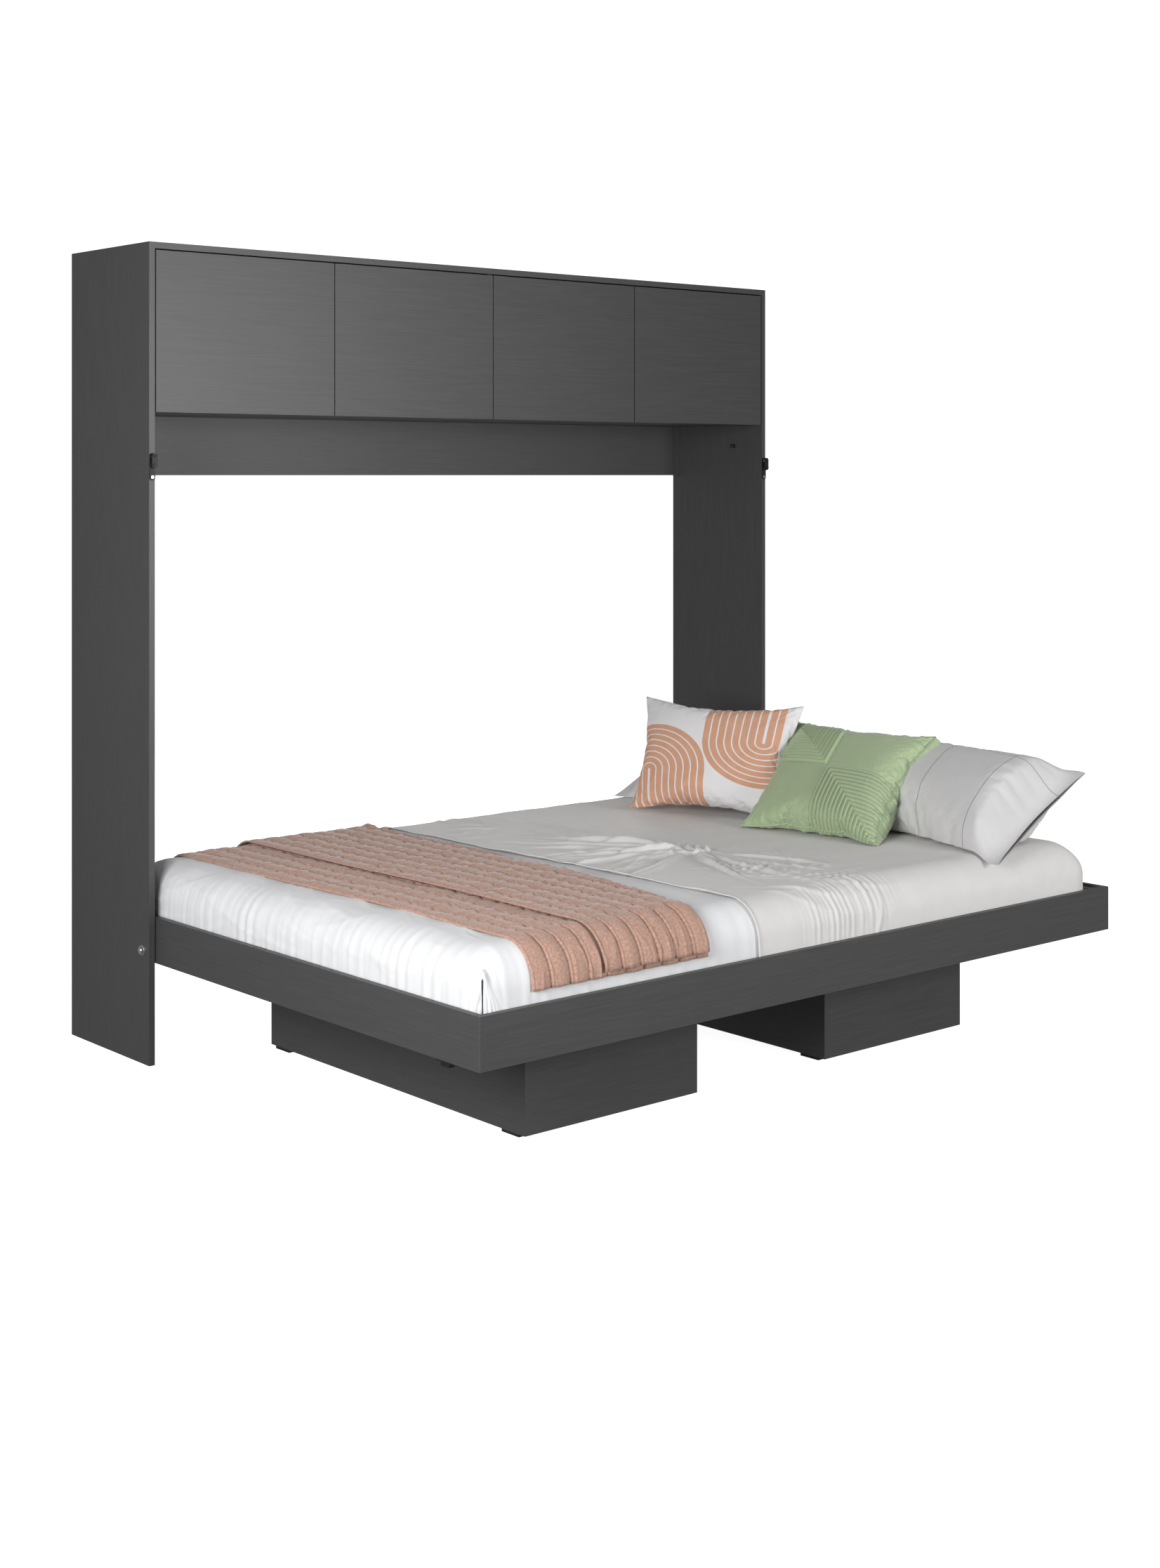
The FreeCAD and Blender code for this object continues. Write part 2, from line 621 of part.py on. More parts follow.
def main():
    os.makedirs("parts", exist_ok=True)
    make_cabinet()
    make_doors()
    make_pivots()
    make_stop_pins()
    make_latches()
    make_keepers()
    make_bed_frame()
    make_storage_box(-1, "left")
    make_storage_box(1, "right")
    make_bedding()


main()
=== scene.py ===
"""The wall bed's looks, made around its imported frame.

The boards and the hardware keep their CAD meshes and get materials. The mattress, sheets, throw, pillows and
cushions are new meshes that take the place of plain CAD solids. All lengths are in metres.
"""

import math

import bmesh
import bpy
import numpy as np
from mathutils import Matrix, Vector


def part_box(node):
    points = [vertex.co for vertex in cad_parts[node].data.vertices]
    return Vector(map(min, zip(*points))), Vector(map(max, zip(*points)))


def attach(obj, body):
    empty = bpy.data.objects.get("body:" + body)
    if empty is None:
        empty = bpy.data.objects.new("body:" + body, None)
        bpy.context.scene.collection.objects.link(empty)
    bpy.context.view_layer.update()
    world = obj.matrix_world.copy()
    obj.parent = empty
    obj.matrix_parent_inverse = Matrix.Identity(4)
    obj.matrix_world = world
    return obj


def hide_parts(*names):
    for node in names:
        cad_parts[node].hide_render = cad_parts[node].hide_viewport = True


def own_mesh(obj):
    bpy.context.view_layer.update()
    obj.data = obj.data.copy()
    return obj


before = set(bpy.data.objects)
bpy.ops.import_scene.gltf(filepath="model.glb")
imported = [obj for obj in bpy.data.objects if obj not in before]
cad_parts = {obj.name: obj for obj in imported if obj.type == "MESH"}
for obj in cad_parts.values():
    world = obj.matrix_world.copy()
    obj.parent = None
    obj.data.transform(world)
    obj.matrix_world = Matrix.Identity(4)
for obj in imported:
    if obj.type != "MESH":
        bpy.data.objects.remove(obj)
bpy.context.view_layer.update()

# ---------------- the bed's places, from the frame

BED = "bed"
MATTRESS_LOW, MATTRESS_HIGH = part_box("mattress")
RAIL_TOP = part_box("front_rail")[1].z
BED_TOP = MATTRESS_HIGH.z

# The sheeted mattress ends this far from the rails, and goes a little past the CAD mattress at the head
RAIL_GAP = 0.006
HEAD_BULGE = 0.014
FOOT_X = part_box("left_end_rail")[1].x + RAIL_GAP
HEAD_X = MATTRESS_HIGH.x + HEAD_BULGE
FRONT_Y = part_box("front_rail")[1].y + RAIL_GAP
BACK_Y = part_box("wall_rail")[0].y - RAIL_GAP
CENTRE = Vector(((FOOT_X + HEAD_X) / 2, (FRONT_Y + BACK_Y) / 2, BED_TOP))
HALF = Vector(((HEAD_X - FOOT_X) / 2, (BACK_Y - FRONT_Y) / 2, 0))

# The mattress's soft edge: its radius, the cloth's length round it, and the flat top inside it
EDGE = 0.078
ARC = EDGE * math.pi / 2
INNER = Vector((HALF.x - EDGE, HALF.y - EDGE, 0))

# How far past the flat top, over the cloth, the fitted sheet's corner seams start
SEAM_START = 0.78 * ARC

# ---------------- camera, light and floor

CAMERA_PLACE = (-3.5247, -4.0224, 1.3687)
CAMERA_HEADING = -40.74
CAMERA_LENS = 49.62
CAMERA_SHIFT = -0.19704
ROOM_LIGHT = 0.24
BACKDROP_SIZE = 40
FLOOR_GLOW = 0.95
DOME_GLOW = 1.0


def put_in_scene(name, data):
    """A new object with that data, in the scene."""
    thing = bpy.data.objects.new(name, data)
    bpy.context.scene.collection.objects.link(thing)
    return thing


def make_camera():
    data = bpy.data.cameras.new("camera")
    data.lens = CAMERA_LENS
    data.sensor_width = 36
    data.shift_y = CAMERA_SHIFT
    camera = put_in_scene("camera", data)
    camera.location = CAMERA_PLACE
    camera.rotation_euler = (math.radians(90), 0, math.radians(CAMERA_HEADING))
    bpy.context.scene.camera = camera


def make_world():
    """Even, dim light from all round."""
    world = bpy.data.worlds.new("studio")
    world.use_nodes = True
    world.node_tree.nodes["Background"].inputs["Color"].default_value = (ROOM_LIGHT,) * 3 + (1,)
    bpy.context.scene.world = world
    bpy.context.scene.view_settings.view_transform = "Standard"


def area_lamp(name, place, target, size, power, spread=180):
    """A square lamp at a place, turned towards a target. spread is the width of its beam in degrees."""
    data = bpy.data.lights.new(name, "AREA")
    data.shape = "SQUARE"
    data.size = size
    data.energy = power
    data.spread = math.radians(spread)
    lamp = put_in_scene(name, data)
    lamp.location = place
    lamp.rotation_euler = (Vector(target) - Vector(place)).to_track_quat("-Z", "Y").to_euler()


def make_lights():
    area_lamp("key", (-3.4, -1.6, 1.4), (0.0, 0.1, 0.6), 1.2, 101)
    area_lamp("front", (1.1, -4.5, 1.4), (0.2, 0.0, 0.8), 1.5, 98)
    area_lamp("doors", (-0.98, -1.6, 1.2), (-0.86, 0.42, 1.82), 0.6, 6.0, spread=75)
    area_lamp("behind", (3.0, 4.2, 1.3), (0.0, 0.6, 0.9), 1.6, 60)


def backdrop_piece(name, mesh, glow):
    """A plain pale surface that the camera sees and that throws no light on the object."""
    piece = put_in_scene(name, mesh)
    surface, nodes = new_material(name + "_paint")
    surface.inputs["Base Color"].default_value = (0.80, 0.80, 0.80, 1)
    surface.inputs["Roughness"].default_value = 0.9
    surface.inputs["Emission Color"].default_value = (1, 1, 1, 1)
    surface.inputs["Emission Strength"].default_value = glow
    mesh.materials.append(nodes.material)
    piece.visible_diffuse = False
    piece.visible_glossy = False
    piece.visible_shadow = False


def make_backdrop():
    size = BACKDROP_SIZE
    floor = bpy.data.meshes.new("floor")
    corners = [(-size, -size, 0), (size, -size, 0), (size, size, 0), (-size, size, 0)]
    floor.from_pydata(corners, [], [(0, 1, 2, 3)])
    backdrop_piece("floor", floor, FLOOR_GLOW)
    dome = bpy.data.meshes.new("dome")
    shell = bmesh.new()
    bmesh.ops.create_uvsphere(shell, u_segments=48, v_segments=24, radius=size)
    shell.to_mesh(dome)
    shell.free()
    backdrop_piece("dome", dome, DOME_GLOW)


# ---------------- materials


class Nodes:
    """A material's node tree, with short calls to add nodes and to join them."""

    def __init__(self, material):
        self.material = material
        self.tree = material.node_tree

    def add(self, kind, settings=None, **inputs):
        """Adds a node. settings are its properties; inputs are values or sockets, by socket name."""
        node = self.tree.nodes.new(kind)
        for name, value in (settings or {}).items():
            setattr(node, name, value)
        for name, value in inputs.items():
            self.feed(node.inputs[name.replace("_", " ")], value)
        return node

    def feed(self, socket, value):
        if isinstance(value, bpy.types.NodeSocket):
            self.tree.links.new(value, socket)
        else:
            socket.default_value = value

    def maths(self, operation, first, second=0.0):
        node = self.tree.nodes.new("ShaderNodeMath")
        node.operation = operation
        self.feed(node.inputs[0], first)
        self.feed(node.inputs[1], second)
        return node.outputs[0]

    def coordinates(self, kind, scale=(1, 1, 1)):
        source = self.add("ShaderNodeTexCoord").outputs[kind]
        return self.add("ShaderNodeMapping", Vector=source, Scale=scale).outputs[0]

    def noise(self, vector, scale, detail=3.0, roughness=0.55):
        node = self.add("ShaderNodeTexNoise", Vector=vector, Scale=scale, Detail=detail, Roughness=roughness)
        return node.outputs[0]

    def between(self, factor, low, high, first, second):
        """A colour that goes from first to second as factor goes from low to high."""
        ramp = self.add("ShaderNodeValToRGB", Fac=factor)
        for element, place, colour in zip(ramp.color_ramp.elements, (low, high), (first, second)):
            element.position = place
            element.color = (*colour, 1)
        return ramp.outputs[0]

    def mix(self, factor, first, second):
        """A colour between first and second. Sockets 6 and 7 and output 2 are the ones for colours."""
        node = self.tree.nodes.new("ShaderNodeMix")
        node.data_type = "RGBA"
        self.feed(node.inputs[0], factor)
        self.feed(node.inputs[6], first)
        self.feed(node.inputs[7], second)
        return node.outputs[2]

    def bump(self, height, distance, strength=1.0, normal=None):
        node = self.add("ShaderNodeBump", Height=height, Distance=distance, Strength=strength)
        if normal is not None:
            self.feed(node.inputs["Normal"], normal)
        return node.outputs[0]


def new_material(name):
    """A new material's surface shader and its Nodes."""
    material = bpy.data.materials.new(name)
    material.use_nodes = True
    nodes = Nodes(material)
    return material.node_tree.nodes["Principled BSDF"], nodes


def shade(colour, factor):
    return tuple(channel * factor for channel in colour)


LAMINATE = (0.062, 0.0622, 0.0628)
STREAK_STRETCH = 0.02
FIGURE_STRETCH = 0.09
FIGURE_TURNS = 95.0


def grain_coordinates(nodes, grain, stretch):
    """Object coordinates, drawn out along the grain axis by one over stretch."""
    scale = [1.0, 1.0, 1.0]
    scale["XYZ".index(grain)] = stretch
    return nodes.coordinates("Object", scale)


def laminate(name, grain, colour=LAMINATE):
    """Dark laminate whose printed grain runs along the grain axis: fine streaks and faint flame figures."""
    surface, nodes = new_material(name)
    fine = nodes.noise(grain_coordinates(nodes, grain, STREAK_STRETCH), 420.0, 4.0, 0.65)
    warp = nodes.noise(grain_coordinates(nodes, grain, FIGURE_STRETCH), 9.0, 2.0, 0.5)
    rings = nodes.maths("SINE", nodes.maths("MULTIPLY", warp, FIGURE_TURNS))
    patches = nodes.noise(nodes.coordinates("Object"), 2.2, 1.0)
    figure = nodes.maths("MULTIPLY", rings, nodes.maths("SUBTRACT", patches, 0.35))
    tone = nodes.maths("ADD", nodes.maths("MULTIPLY", figure, 0.13), fine)
    colour_out = nodes.between(tone, 0.30, 0.72, shade(colour, 0.88), shade(colour, 1.14))
    nodes.feed(surface.inputs["Base Color"], colour_out)
    nodes.feed(surface.inputs["Roughness"], nodes.maths("ADD", nodes.maths("MULTIPLY", fine, 0.18), 0.36))
    nodes.feed(surface.inputs["Normal"], nodes.bump(fine, 0.0005, 0.22))
    surface.inputs["Specular IOR Level"].default_value = 0.32
    return nodes.material


def metal(name, colour, roughness, metallic=1.0, scale=300.0):
    """Plated or painted steel, or moulded plastic, with a fine uneven surface."""
    surface, nodes = new_material(name)
    source = nodes.coordinates("Object")
    grain = nodes.noise(source, scale, 3.0, 0.6)
    wear = nodes.noise(source, 40.0, 2.0, 0.5)
    unevenness = nodes.maths("MULTIPLY", grain, 0.15)
    nodes.feed(surface.inputs["Base Color"], nodes.between(wear, 0.3, 0.7, shade(colour, 0.85), colour))
    nodes.feed(surface.inputs["Roughness"], nodes.maths("ADD", unevenness, roughness - 0.07))
    nodes.feed(surface.inputs["Normal"], nodes.bump(grain, 0.0001, 0.4))
    surface.inputs["Metallic"].default_value = metallic
    return nodes.material


THREAD_HEIGHT = 0.0001
SLUB_HEIGHT = 0.0004


def fabric(name, colour, pitch=0.0011, mottle=0.05, blotch=30.0, roughness=0.85, sheen=0.15, paint=None):
    """Woven cloth laid out by its UV map, which is in metres: threads, slubs and slow changes of tone.
    pitch is the threads' spacing. paint, if given, is a function that paints a pattern over the cloth."""
    surface, nodes = new_material(name)
    uv = nodes.coordinates("UV")
    split = nodes.add("ShaderNodeSeparateXYZ", Vector=uv)
    turns = 2 * math.pi / pitch
    warp = nodes.maths("SINE", nodes.maths("MULTIPLY", split.outputs[0], turns))
    weft = nodes.maths("SINE", nodes.maths("MULTIPLY", split.outputs[1], turns))
    weave = nodes.maths("MULTIPLY", warp, weft)
    slubs = nodes.noise(nodes.coordinates("UV", (1, 6, 1)), 160.0, 3.0, 0.6)
    slow = nodes.noise(uv, blotch, 4.0, 0.6)
    tone = nodes.maths("ADD", nodes.maths("MULTIPLY", slow, 0.6), nodes.maths("MULTIPLY", slubs, 0.4))
    colour_out = nodes.between(tone, 0.35, 0.65, shade(colour, 1 - mottle), shade(colour, 1 + mottle))
    if paint:
        colour_out = paint(nodes, split.outputs[0], split.outputs[1], colour_out, tone)
    nodes.feed(surface.inputs["Base Color"], colour_out)
    threads = nodes.bump(weave, THREAD_HEIGHT, 0.25)
    nodes.feed(surface.inputs["Normal"], nodes.bump(slubs, SLUB_HEIGHT, 0.35, threads))
    surface.inputs["Roughness"].default_value = roughness
    surface.inputs["Sheen Weight"].default_value = sheen
    surface.inputs["Sheen Roughness"].default_value = 0.5
    surface.inputs["Specular IOR Level"].default_value = 0.25
    return nodes.material


TERRACOTTA = (0.66, 0.36, 0.235)
ARCH_BAND = 0.0218
ARCH_BANDS = 8
ARCH_LINE_SHARE = 0.18
LEFT_ARCH = (0.069, 0.110)
LEFT_SQUASH = 1.33
RIGHT_ARCH = (0.398, 0.206)
RIGHT_SQUASH = -1.4
RIGHT_BANDS_KEPT = 2.2


def arch_bands(nodes, u, v, centre, squash):
    """1 on the bands of nested arches: flattened half rings on one side of the centre's height, and straight
    legs on the other. The rings are above it if squash is positive, and below it if squash is negative."""
    across = nodes.maths("SUBTRACT", u, centre[0])
    rise = nodes.maths("MULTIPLY", nodes.maths("SUBTRACT", v, centre[1]), squash)
    rise = nodes.maths("MAXIMUM", rise, 0.0)
    across_squared = nodes.maths("MULTIPLY", across, across)
    square = nodes.maths("ADD", across_squared, nodes.maths("MULTIPLY", rise, rise))
    distance = nodes.maths("DIVIDE", nodes.maths("SQRT", square), ARCH_BAND)
    line = nodes.maths("GREATER_THAN", nodes.maths("FRACT", distance), ARCH_LINE_SHARE)
    inside = nodes.maths("LESS_THAN", distance, ARCH_BANDS)
    return nodes.maths("MULTIPLY", line, inside)


def print_arches(nodes, u, v, ground, tone):
    """Paints two sets of nested arches on the printed cushion. The right set ends after its second leg."""
    left = arch_bands(nodes, u, v, LEFT_ARCH, LEFT_SQUASH)
    right = arch_bands(nodes, u, v, RIGHT_ARCH, RIGHT_SQUASH)
    kept = nodes.maths("LESS_THAN", u, RIGHT_ARCH[0] + RIGHT_BANDS_KEPT * ARCH_BAND)
    right = nodes.maths("MULTIPLY", right, kept)
    ink = nodes.between(tone, 0.35, 0.65, shade(TERRACOTTA, 0.93), shade(TERRACOTTA, 1.07))
    return nodes.mix(nodes.maths("MAXIMUM", left, right), ground, ink)


SAGE = (0.40, 0.50, 0.30)
SQUARE_SIZE = (0.45, 0.43)
PLEAT_PITCH = 0.0122


def paint_pleat_shade(nodes, u, v, ground, tone):
    """Paints shade into the fold at the foot of each pleat of the square cushion, in its two pleated
    quarters.
    """
    across = nodes.maths("SUBTRACT", u, SQUARE_SIZE[0] / 2)
    rise = nodes.maths("SUBTRACT", v, SQUARE_SIZE[1] / 2)
    from_cross = nodes.maths("MINIMUM", nodes.maths("ABSOLUTE", across), nodes.maths("ABSOLUTE", rise))
    part = nodes.maths("FRACT", nodes.maths("DIVIDE", from_cross, PLEAT_PITCH))
    fold = nodes.maths("GREATER_THAN", nodes.maths("ABSOLUTE", nodes.maths("SUBTRACT", part, 0.5)), 0.36)
    pleated = nodes.maths("LESS_THAN", nodes.maths("MULTIPLY", across, rise), 0.0)
    share = nodes.maths("MULTIPLY", nodes.maths("MULTIPLY", fold, pleated), 0.5)
    # painted shade: each pleat's fold is darkened where little light reaches; the back shares the UV map and
    # gets it too
    return nodes.mix(share, ground, (*shade(SAGE, 0.4), 1))


# The painted shade in the fitted sheet's corner seams: its colour and its half-width
SEAM_SHADE_COLOUR = (0.045, 0.045, 0.05)
SEAM_SHADE_HALF_WIDTH = 0.0050


def paint_seam_shade(nodes, u, v, ground, tone):
    """Paints a line of shade down the fitted sheet's four corner seams, which run straight down from the soft
    edge.
    """
    past_u = nodes.maths("SUBTRACT", nodes.maths("ABSOLUTE", u), INNER.x)
    past_v = nodes.maths("SUBTRACT", nodes.maths("ABSOLUTE", v), INNER.y)
    off = nodes.maths("ABSOLUTE", nodes.maths("SUBTRACT", past_u, past_v))
    mark = nodes.maths("LESS_THAN", off, SEAM_SHADE_HALF_WIDTH)
    below = nodes.maths("GREATER_THAN", nodes.maths("MINIMUM", past_u, past_v), SEAM_START)
    return nodes.mix(nodes.maths("MULTIPLY", mark, below), ground, (*SEAM_SHADE_COLOUR, 1))


# ---------------- mesh helpers


def quads_of(index):
    """The faces of a grid of vertex numbers."""
    return np.stack([index[:-1, :-1], index[1:, :-1], index[1:, 1:], index[:-1, 1:]], -1).reshape(-1, 4)


def rim_of(index):
    """The grid's border, in order round it."""
    return np.concatenate([index[:-1, 0], index[-1, :-1], index[:0:-1, -1], index[0, :0:-1]])


def surface_piece(name, points, uvs, material):
    """A grid of points (rows, columns, 3) as one smooth mesh, with its UV map in metres."""
    rows, columns = points.shape[:2]
    faces = quads_of(np.arange(rows * columns).reshape(rows, columns))
    return mesh_piece(name, points.reshape(-1, 3), faces.tolist(), uvs.reshape(-1, 2), material)


def mesh_piece(name, vertices, faces, uvs, material):
    """A smooth mesh with one material and one UV map, in metres, from its vertices, faces and UVs."""
    mesh = bpy.data.meshes.new(name)
    mesh.from_pydata(vertices.tolist(), [], faces)
    layer = mesh.uv_layers.new(name="cloth")
    loops = np.zeros(len(mesh.loops), int)
    mesh.loops.foreach_get("vertex_index", loops)
    layer.data.foreach_set("uv", uvs[loops].ravel())
    mesh.shade_smooth()
    mesh.materials.append(material)
    return put_in_scene(name, mesh)


def thicken(piece, thickness):
    """Gives a sheet its thickness, on its underside, and keeps the result as its mesh."""
    modifier = piece.modifiers.new("thickness", "SOLIDIFY")
    modifier.thickness = thickness
    modifier.offset = -1.0
    modifier.use_even_offset = False
    evaluated = piece.evaluated_get(bpy.context.evaluated_depsgraph_get())
    mesh = bpy.data.meshes.new_from_object(evaluated)
    piece.modifiers.clear()
    piece.data = mesh
    mesh.shade_smooth()


def cells(low, high, size):
    """Places from low to high, about size apart."""
    return np.linspace(low, high, max(2, round((high - low) / size) + 1))


def smooth_step(value, low, high):
    t = np.clip((value - low) / (high - low), 0, 1)
    return t * t * (3 - 2 * t)


def bell(value, width):
    """1 where value is 0, falling to almost 0 at twice the width."""
    return np.exp(-((value / width) ** 2))


def waves(a, b, seed, count, wavelength, spread, heading, wander):
    """A sum of sine waves of random headings and lengths, between -1 and 1 or so: slow cloth undulation."""
    rng = np.random.default_rng(seed)
    total = np.zeros_like(a)
    for _ in range(count):
        length = wavelength * rng.uniform(1 - spread, 1 + spread)
        turn = heading + rng.uniform(-wander, wander)
        phase = rng.uniform(0, 2 * math.pi)
        along = a * math.cos(turn) + b * math.sin(turn)
        total += np.sin(2 * math.pi * along / length + phase)
    return total / math.sqrt(count)


def moved(place, heading, distance):
    """The point at that distance from a place, along a heading in radians."""
    return (place[0] + distance * math.cos(heading), place[1] + distance * math.sin(heading))


def crease(a, b, start, end, width, rise, bow=0.0, skew=0.4):
    """A soft fold from start to end, bowed sideways, steeper on one side than on the other."""
    run = np.array(end) - np.array(start)
    length = float(np.hypot(*run))
    along = ((a - start[0]) * run[0] + (b - start[1]) * run[1]) / length**2
    side = (-(a - start[0]) * run[1] + (b - start[1]) * run[0]) / length
    side = side - bow * 4 * along * (1 - along)
    taper = np.clip(4 * along * (1 - along), 0, 1) ** 0.6 * (along > 0) * (along < 1)
    reach = np.where(side > 0, width * (1 + skew), width * (1 - skew))
    return rise * taper * bell(side, reach)


# ---------------- the surface of the made bed


CORNER_SQUARENESS = 0.42


def past_flat_top(a, b):
    """How far places on the cloth are past the flat top, along X and along Y."""
    return np.abs(a) - INNER.x, np.abs(b) - INNER.y


def over_mattress(a, b, lift):
    """Places cloth on the mattress. a and b are distances over the cloth from the middle of the top, along X
    and Y. Past the flat top they go round the soft edge and down the side. lift is the height above it."""
    past_a, past_b = np.maximum(past_flat_top(a, b), 0)
    reach = np.maximum(past_a, past_b)
    safe = np.where(reach > 0, reach, 1)
    with np.errstate(divide="ignore", invalid="ignore"):
        quarter = np.where(past_a >= past_b, past_b / safe, 2 - past_a / safe) * math.pi / 4
    quarter = np.where(reach > 0, quarter, 0)
    bend = np.clip(reach / EDGE, 0, math.pi / 2)
    down = np.maximum(reach - ARC, 0)
    out = (EDGE + lift) * np.sin(bend)
    level = (EDGE + lift) * np.cos(bend) - EDGE - down
    square = 1 - CORNER_SQUARENESS * smooth_step(bend, 0.2, 1.4)
    x = CENTRE.x + np.clip(a, -INNER.x, INNER.x) + np.sign(a) * out * np.cos(quarter) ** square
    y = CENTRE.y + np.clip(b, -INNER.y, INNER.y) + np.sign(b) * out * np.sin(quarter) ** square
    return np.stack([x, y, BED_TOP + level], -1)


def cloth_reach(level, half_inner):
    """How far along the cloth from the middle of the bed a point on a side at that height is."""
    return half_inner + ARC + (BED_TOP - EDGE - level)


def top_a(x):
    """The distance a over the cloth, on the flat top, of a place along X."""
    return x - CENTRE.x


def top_b(y):
    """The distance b over the cloth, on the flat top, of a place along Y."""
    return y - CENTRE.y


FOOT_WRINKLE = 0.0013
SIDE_WRINKLE = 0.0009
SLOW_WAVE = 0.0013
SWEEPING_WRINKLES = 80


def sheet_wrinkles(a, b):
    """The fitted sheet's wrinkles: fine upright ones down the sides, sweeping ones over the edge."""
    past_a, past_b = past_flat_top(a, b)
    foot = smooth_step(-a - INNER.x, -0.02, ARC) * (past_a > past_b)
    side = smooth_step(past_b, -0.02, ARC) * (past_b >= past_a)
    tuck = smooth_step(np.maximum(past_a, past_b), ARC + 0.16, ARC + 0.05)
    fine_foot = waves(a * 0.25, b, 3, 9, 0.030, 0.45, math.pi / 2, 0.25)
    fine_side = waves(a, b * 0.25, 4, 9, 0.036, 0.45, 0.0, 0.25)
    patch = 0.5 + 0.5 * waves(a, b, 5, 5, 0.45, 0.4, 0.5, 3.1)
    rng = np.random.default_rng(11)
    sweeps = np.zeros_like(a)
    for _ in range(SWEEPING_WRINKLES):
        start = (-(INNER.x + rng.uniform(-0.06, 0.14)), rng.uniform(-0.62, 0.50))
        run = rng.uniform(0.08, 0.30)
        turn = rng.uniform(0.10, 0.55) if rng.uniform() < 0.7 else rng.uniform(-0.6, 0.1)
        end = (start[0] + run * math.sin(turn), start[1] + run * math.cos(turn))
        sweeps += crease(a, b, start, end, rng.uniform(0.004, 0.009), rng.uniform(0.0005, 0.0017), 0.02)
    height = FOOT_WRINKLE * foot * tuck * fine_foot * (0.35 + patch) + sweeps * tuck
    height += SIDE_WRINKLE * side * tuck * fine_side * (0.35 + patch)
    height += SLOW_WAVE * waves(a, b, 6, 6, 0.30, 0.5, 1.2, 3.1) * tuck
    return height


# Each pair of folds at the foot's front corner: turn from the seam in radians, length, width and height
CORNER_FOLDS = (
    (0.00, 0.100, 0.010, 0.0045),
    (0.50, 0.150, 0.011, 0.0055),
    (0.80, 0.200, 0.009, 0.0028),
    (1.05, 0.240, 0.008, 0.0018),
    (1.35, 0.280, 0.008, 0.0012),
    (0.22, 0.100, 0.006, 0.0018),
)


def corner_pull(a, b):
    """The pull at the foot's front corner: folds that fall from a small peak where the corner seam ends."""
    peak = (-(INNER.x + SEAM_START - 0.004), -(INNER.y + SEAM_START - 0.004))
    height = np.zeros_like(a)
    for spread, length, width, rise in CORNER_FOLDS:
        for turn in (spread, -spread):
            heading = math.radians(225) + turn
            start = moved(peak, heading, -0.02)
            end = moved(peak, heading, length)
            height += crease(a, b, start, end, width, rise, bow=0.02 * turn)
    return height


def corner_seams(a, b):
    """1 along the fitted sheet's corner seams, falling to 0 beside them."""
    past_a, past_b = past_flat_top(a, b)
    groove = bell(past_a - past_b, 0.010) * (np.minimum(past_a, past_b) > 0)
    return groove * smooth_step(np.maximum(past_a, past_b), SEAM_START - 0.01, SEAM_START)


# The mattress's grid is fine as far as FINE_TO_X, where its folds are small, and coarser towards the head
MATTRESS_CELL = 0.0050
MATTRESS_COARSE_CELL = 0.0110
MATTRESS_CELL_ACROSS = 0.0065
FINE_TO_X = -0.70
SEAM_DEPTH = 0.0050


def make_mattress(material):
    """The mattress in its fitted sheet: a closed, soft-edged block with a seam at each corner."""
    low = MATTRESS_LOW.z + 0.002
    reach_a = cloth_reach(low, INNER.x)
    reach_b = cloth_reach(low, INNER.y)
    fine = cells(-reach_a, top_a(FINE_TO_X), MATTRESS_CELL)
    coarse = cells(top_a(FINE_TO_X) + MATTRESS_COARSE_CELL, reach_a, MATTRESS_COARSE_CELL)
    across = cells(-reach_b, reach_b, MATTRESS_CELL_ACROSS)
    a, b = np.meshgrid(np.concatenate([fine, coarse]), across, indexing="ij")
    height = sheet_wrinkles(a, b) + corner_pull(a, b) - SEAM_DEPTH * corner_seams(a, b)
    points = over_mattress(a, b, height)
    index = np.arange(a.size).reshape(a.shape)
    faces = quads_of(index).tolist()
    faces.append(rim_of(index).tolist())
    uvs = np.stack([a.ravel(), b.ravel()], -1)
    piece = mesh_piece("mattress_in_fitted_sheet", points.reshape(-1, 3), faces, uvs, material)
    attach(piece, BED)
    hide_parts("mattress")


# The top sheet's turned hem, and where its folds end and its grid becomes coarser
HEM_X = -0.250
SHEET_FINE_TO_X = 0.36
SHEET_CELL = 0.0045
SHEET_COARSE_CELL = 2.2 * SHEET_CELL
SHEET_TUCK_DEPTH = 0.030
SHEET_THICKNESS = 0.0022
SHEET_LIFT = 0.0035
HEM_RISE = 0.0050
RIPPLE_HEIGHT = 0.0027
FRONT_FOLDS = 22

# The top sheet's fans of folds: the place along X and Y where each starts, its heading in degrees, its spread
# to each side in radians, its number of folds, how far from the place they begin and end, and their height
PINCH = (0.085, -0.245)
FAR_SIDE = (-0.02, 0.30)
BY_THE_PILLOW = (0.215, -0.43)
SHEET_FANS = (
    (PINCH, 158, 0.80, 38, 0.02, 0.46, 0.0068),
    (PINCH, 108, 0.45, 16, 0.03, 0.62, 0.0070),
    (PINCH, 262, 0.40, 16, 0.02, 0.50, 0.0070),
    (PINCH, 0, math.pi, 16, 0.005, 0.09, 0.0110),
    (FAR_SIDE, 150, 0.9, 12, 0.03, 0.28, 0.0042),
    (FAR_SIDE, 80, 0.6, 7, 0.04, 0.28, 0.0035),
    (FAR_SIDE, 285, 0.6, 7, 0.04, 0.28, 0.0035),
    (BY_THE_PILLOW, 75, 0.5, 5, 0.01, 0.13, 0.0040),
    (BY_THE_PILLOW, 250, 0.35, 6, 0.01, 0.22, 0.0035),
)


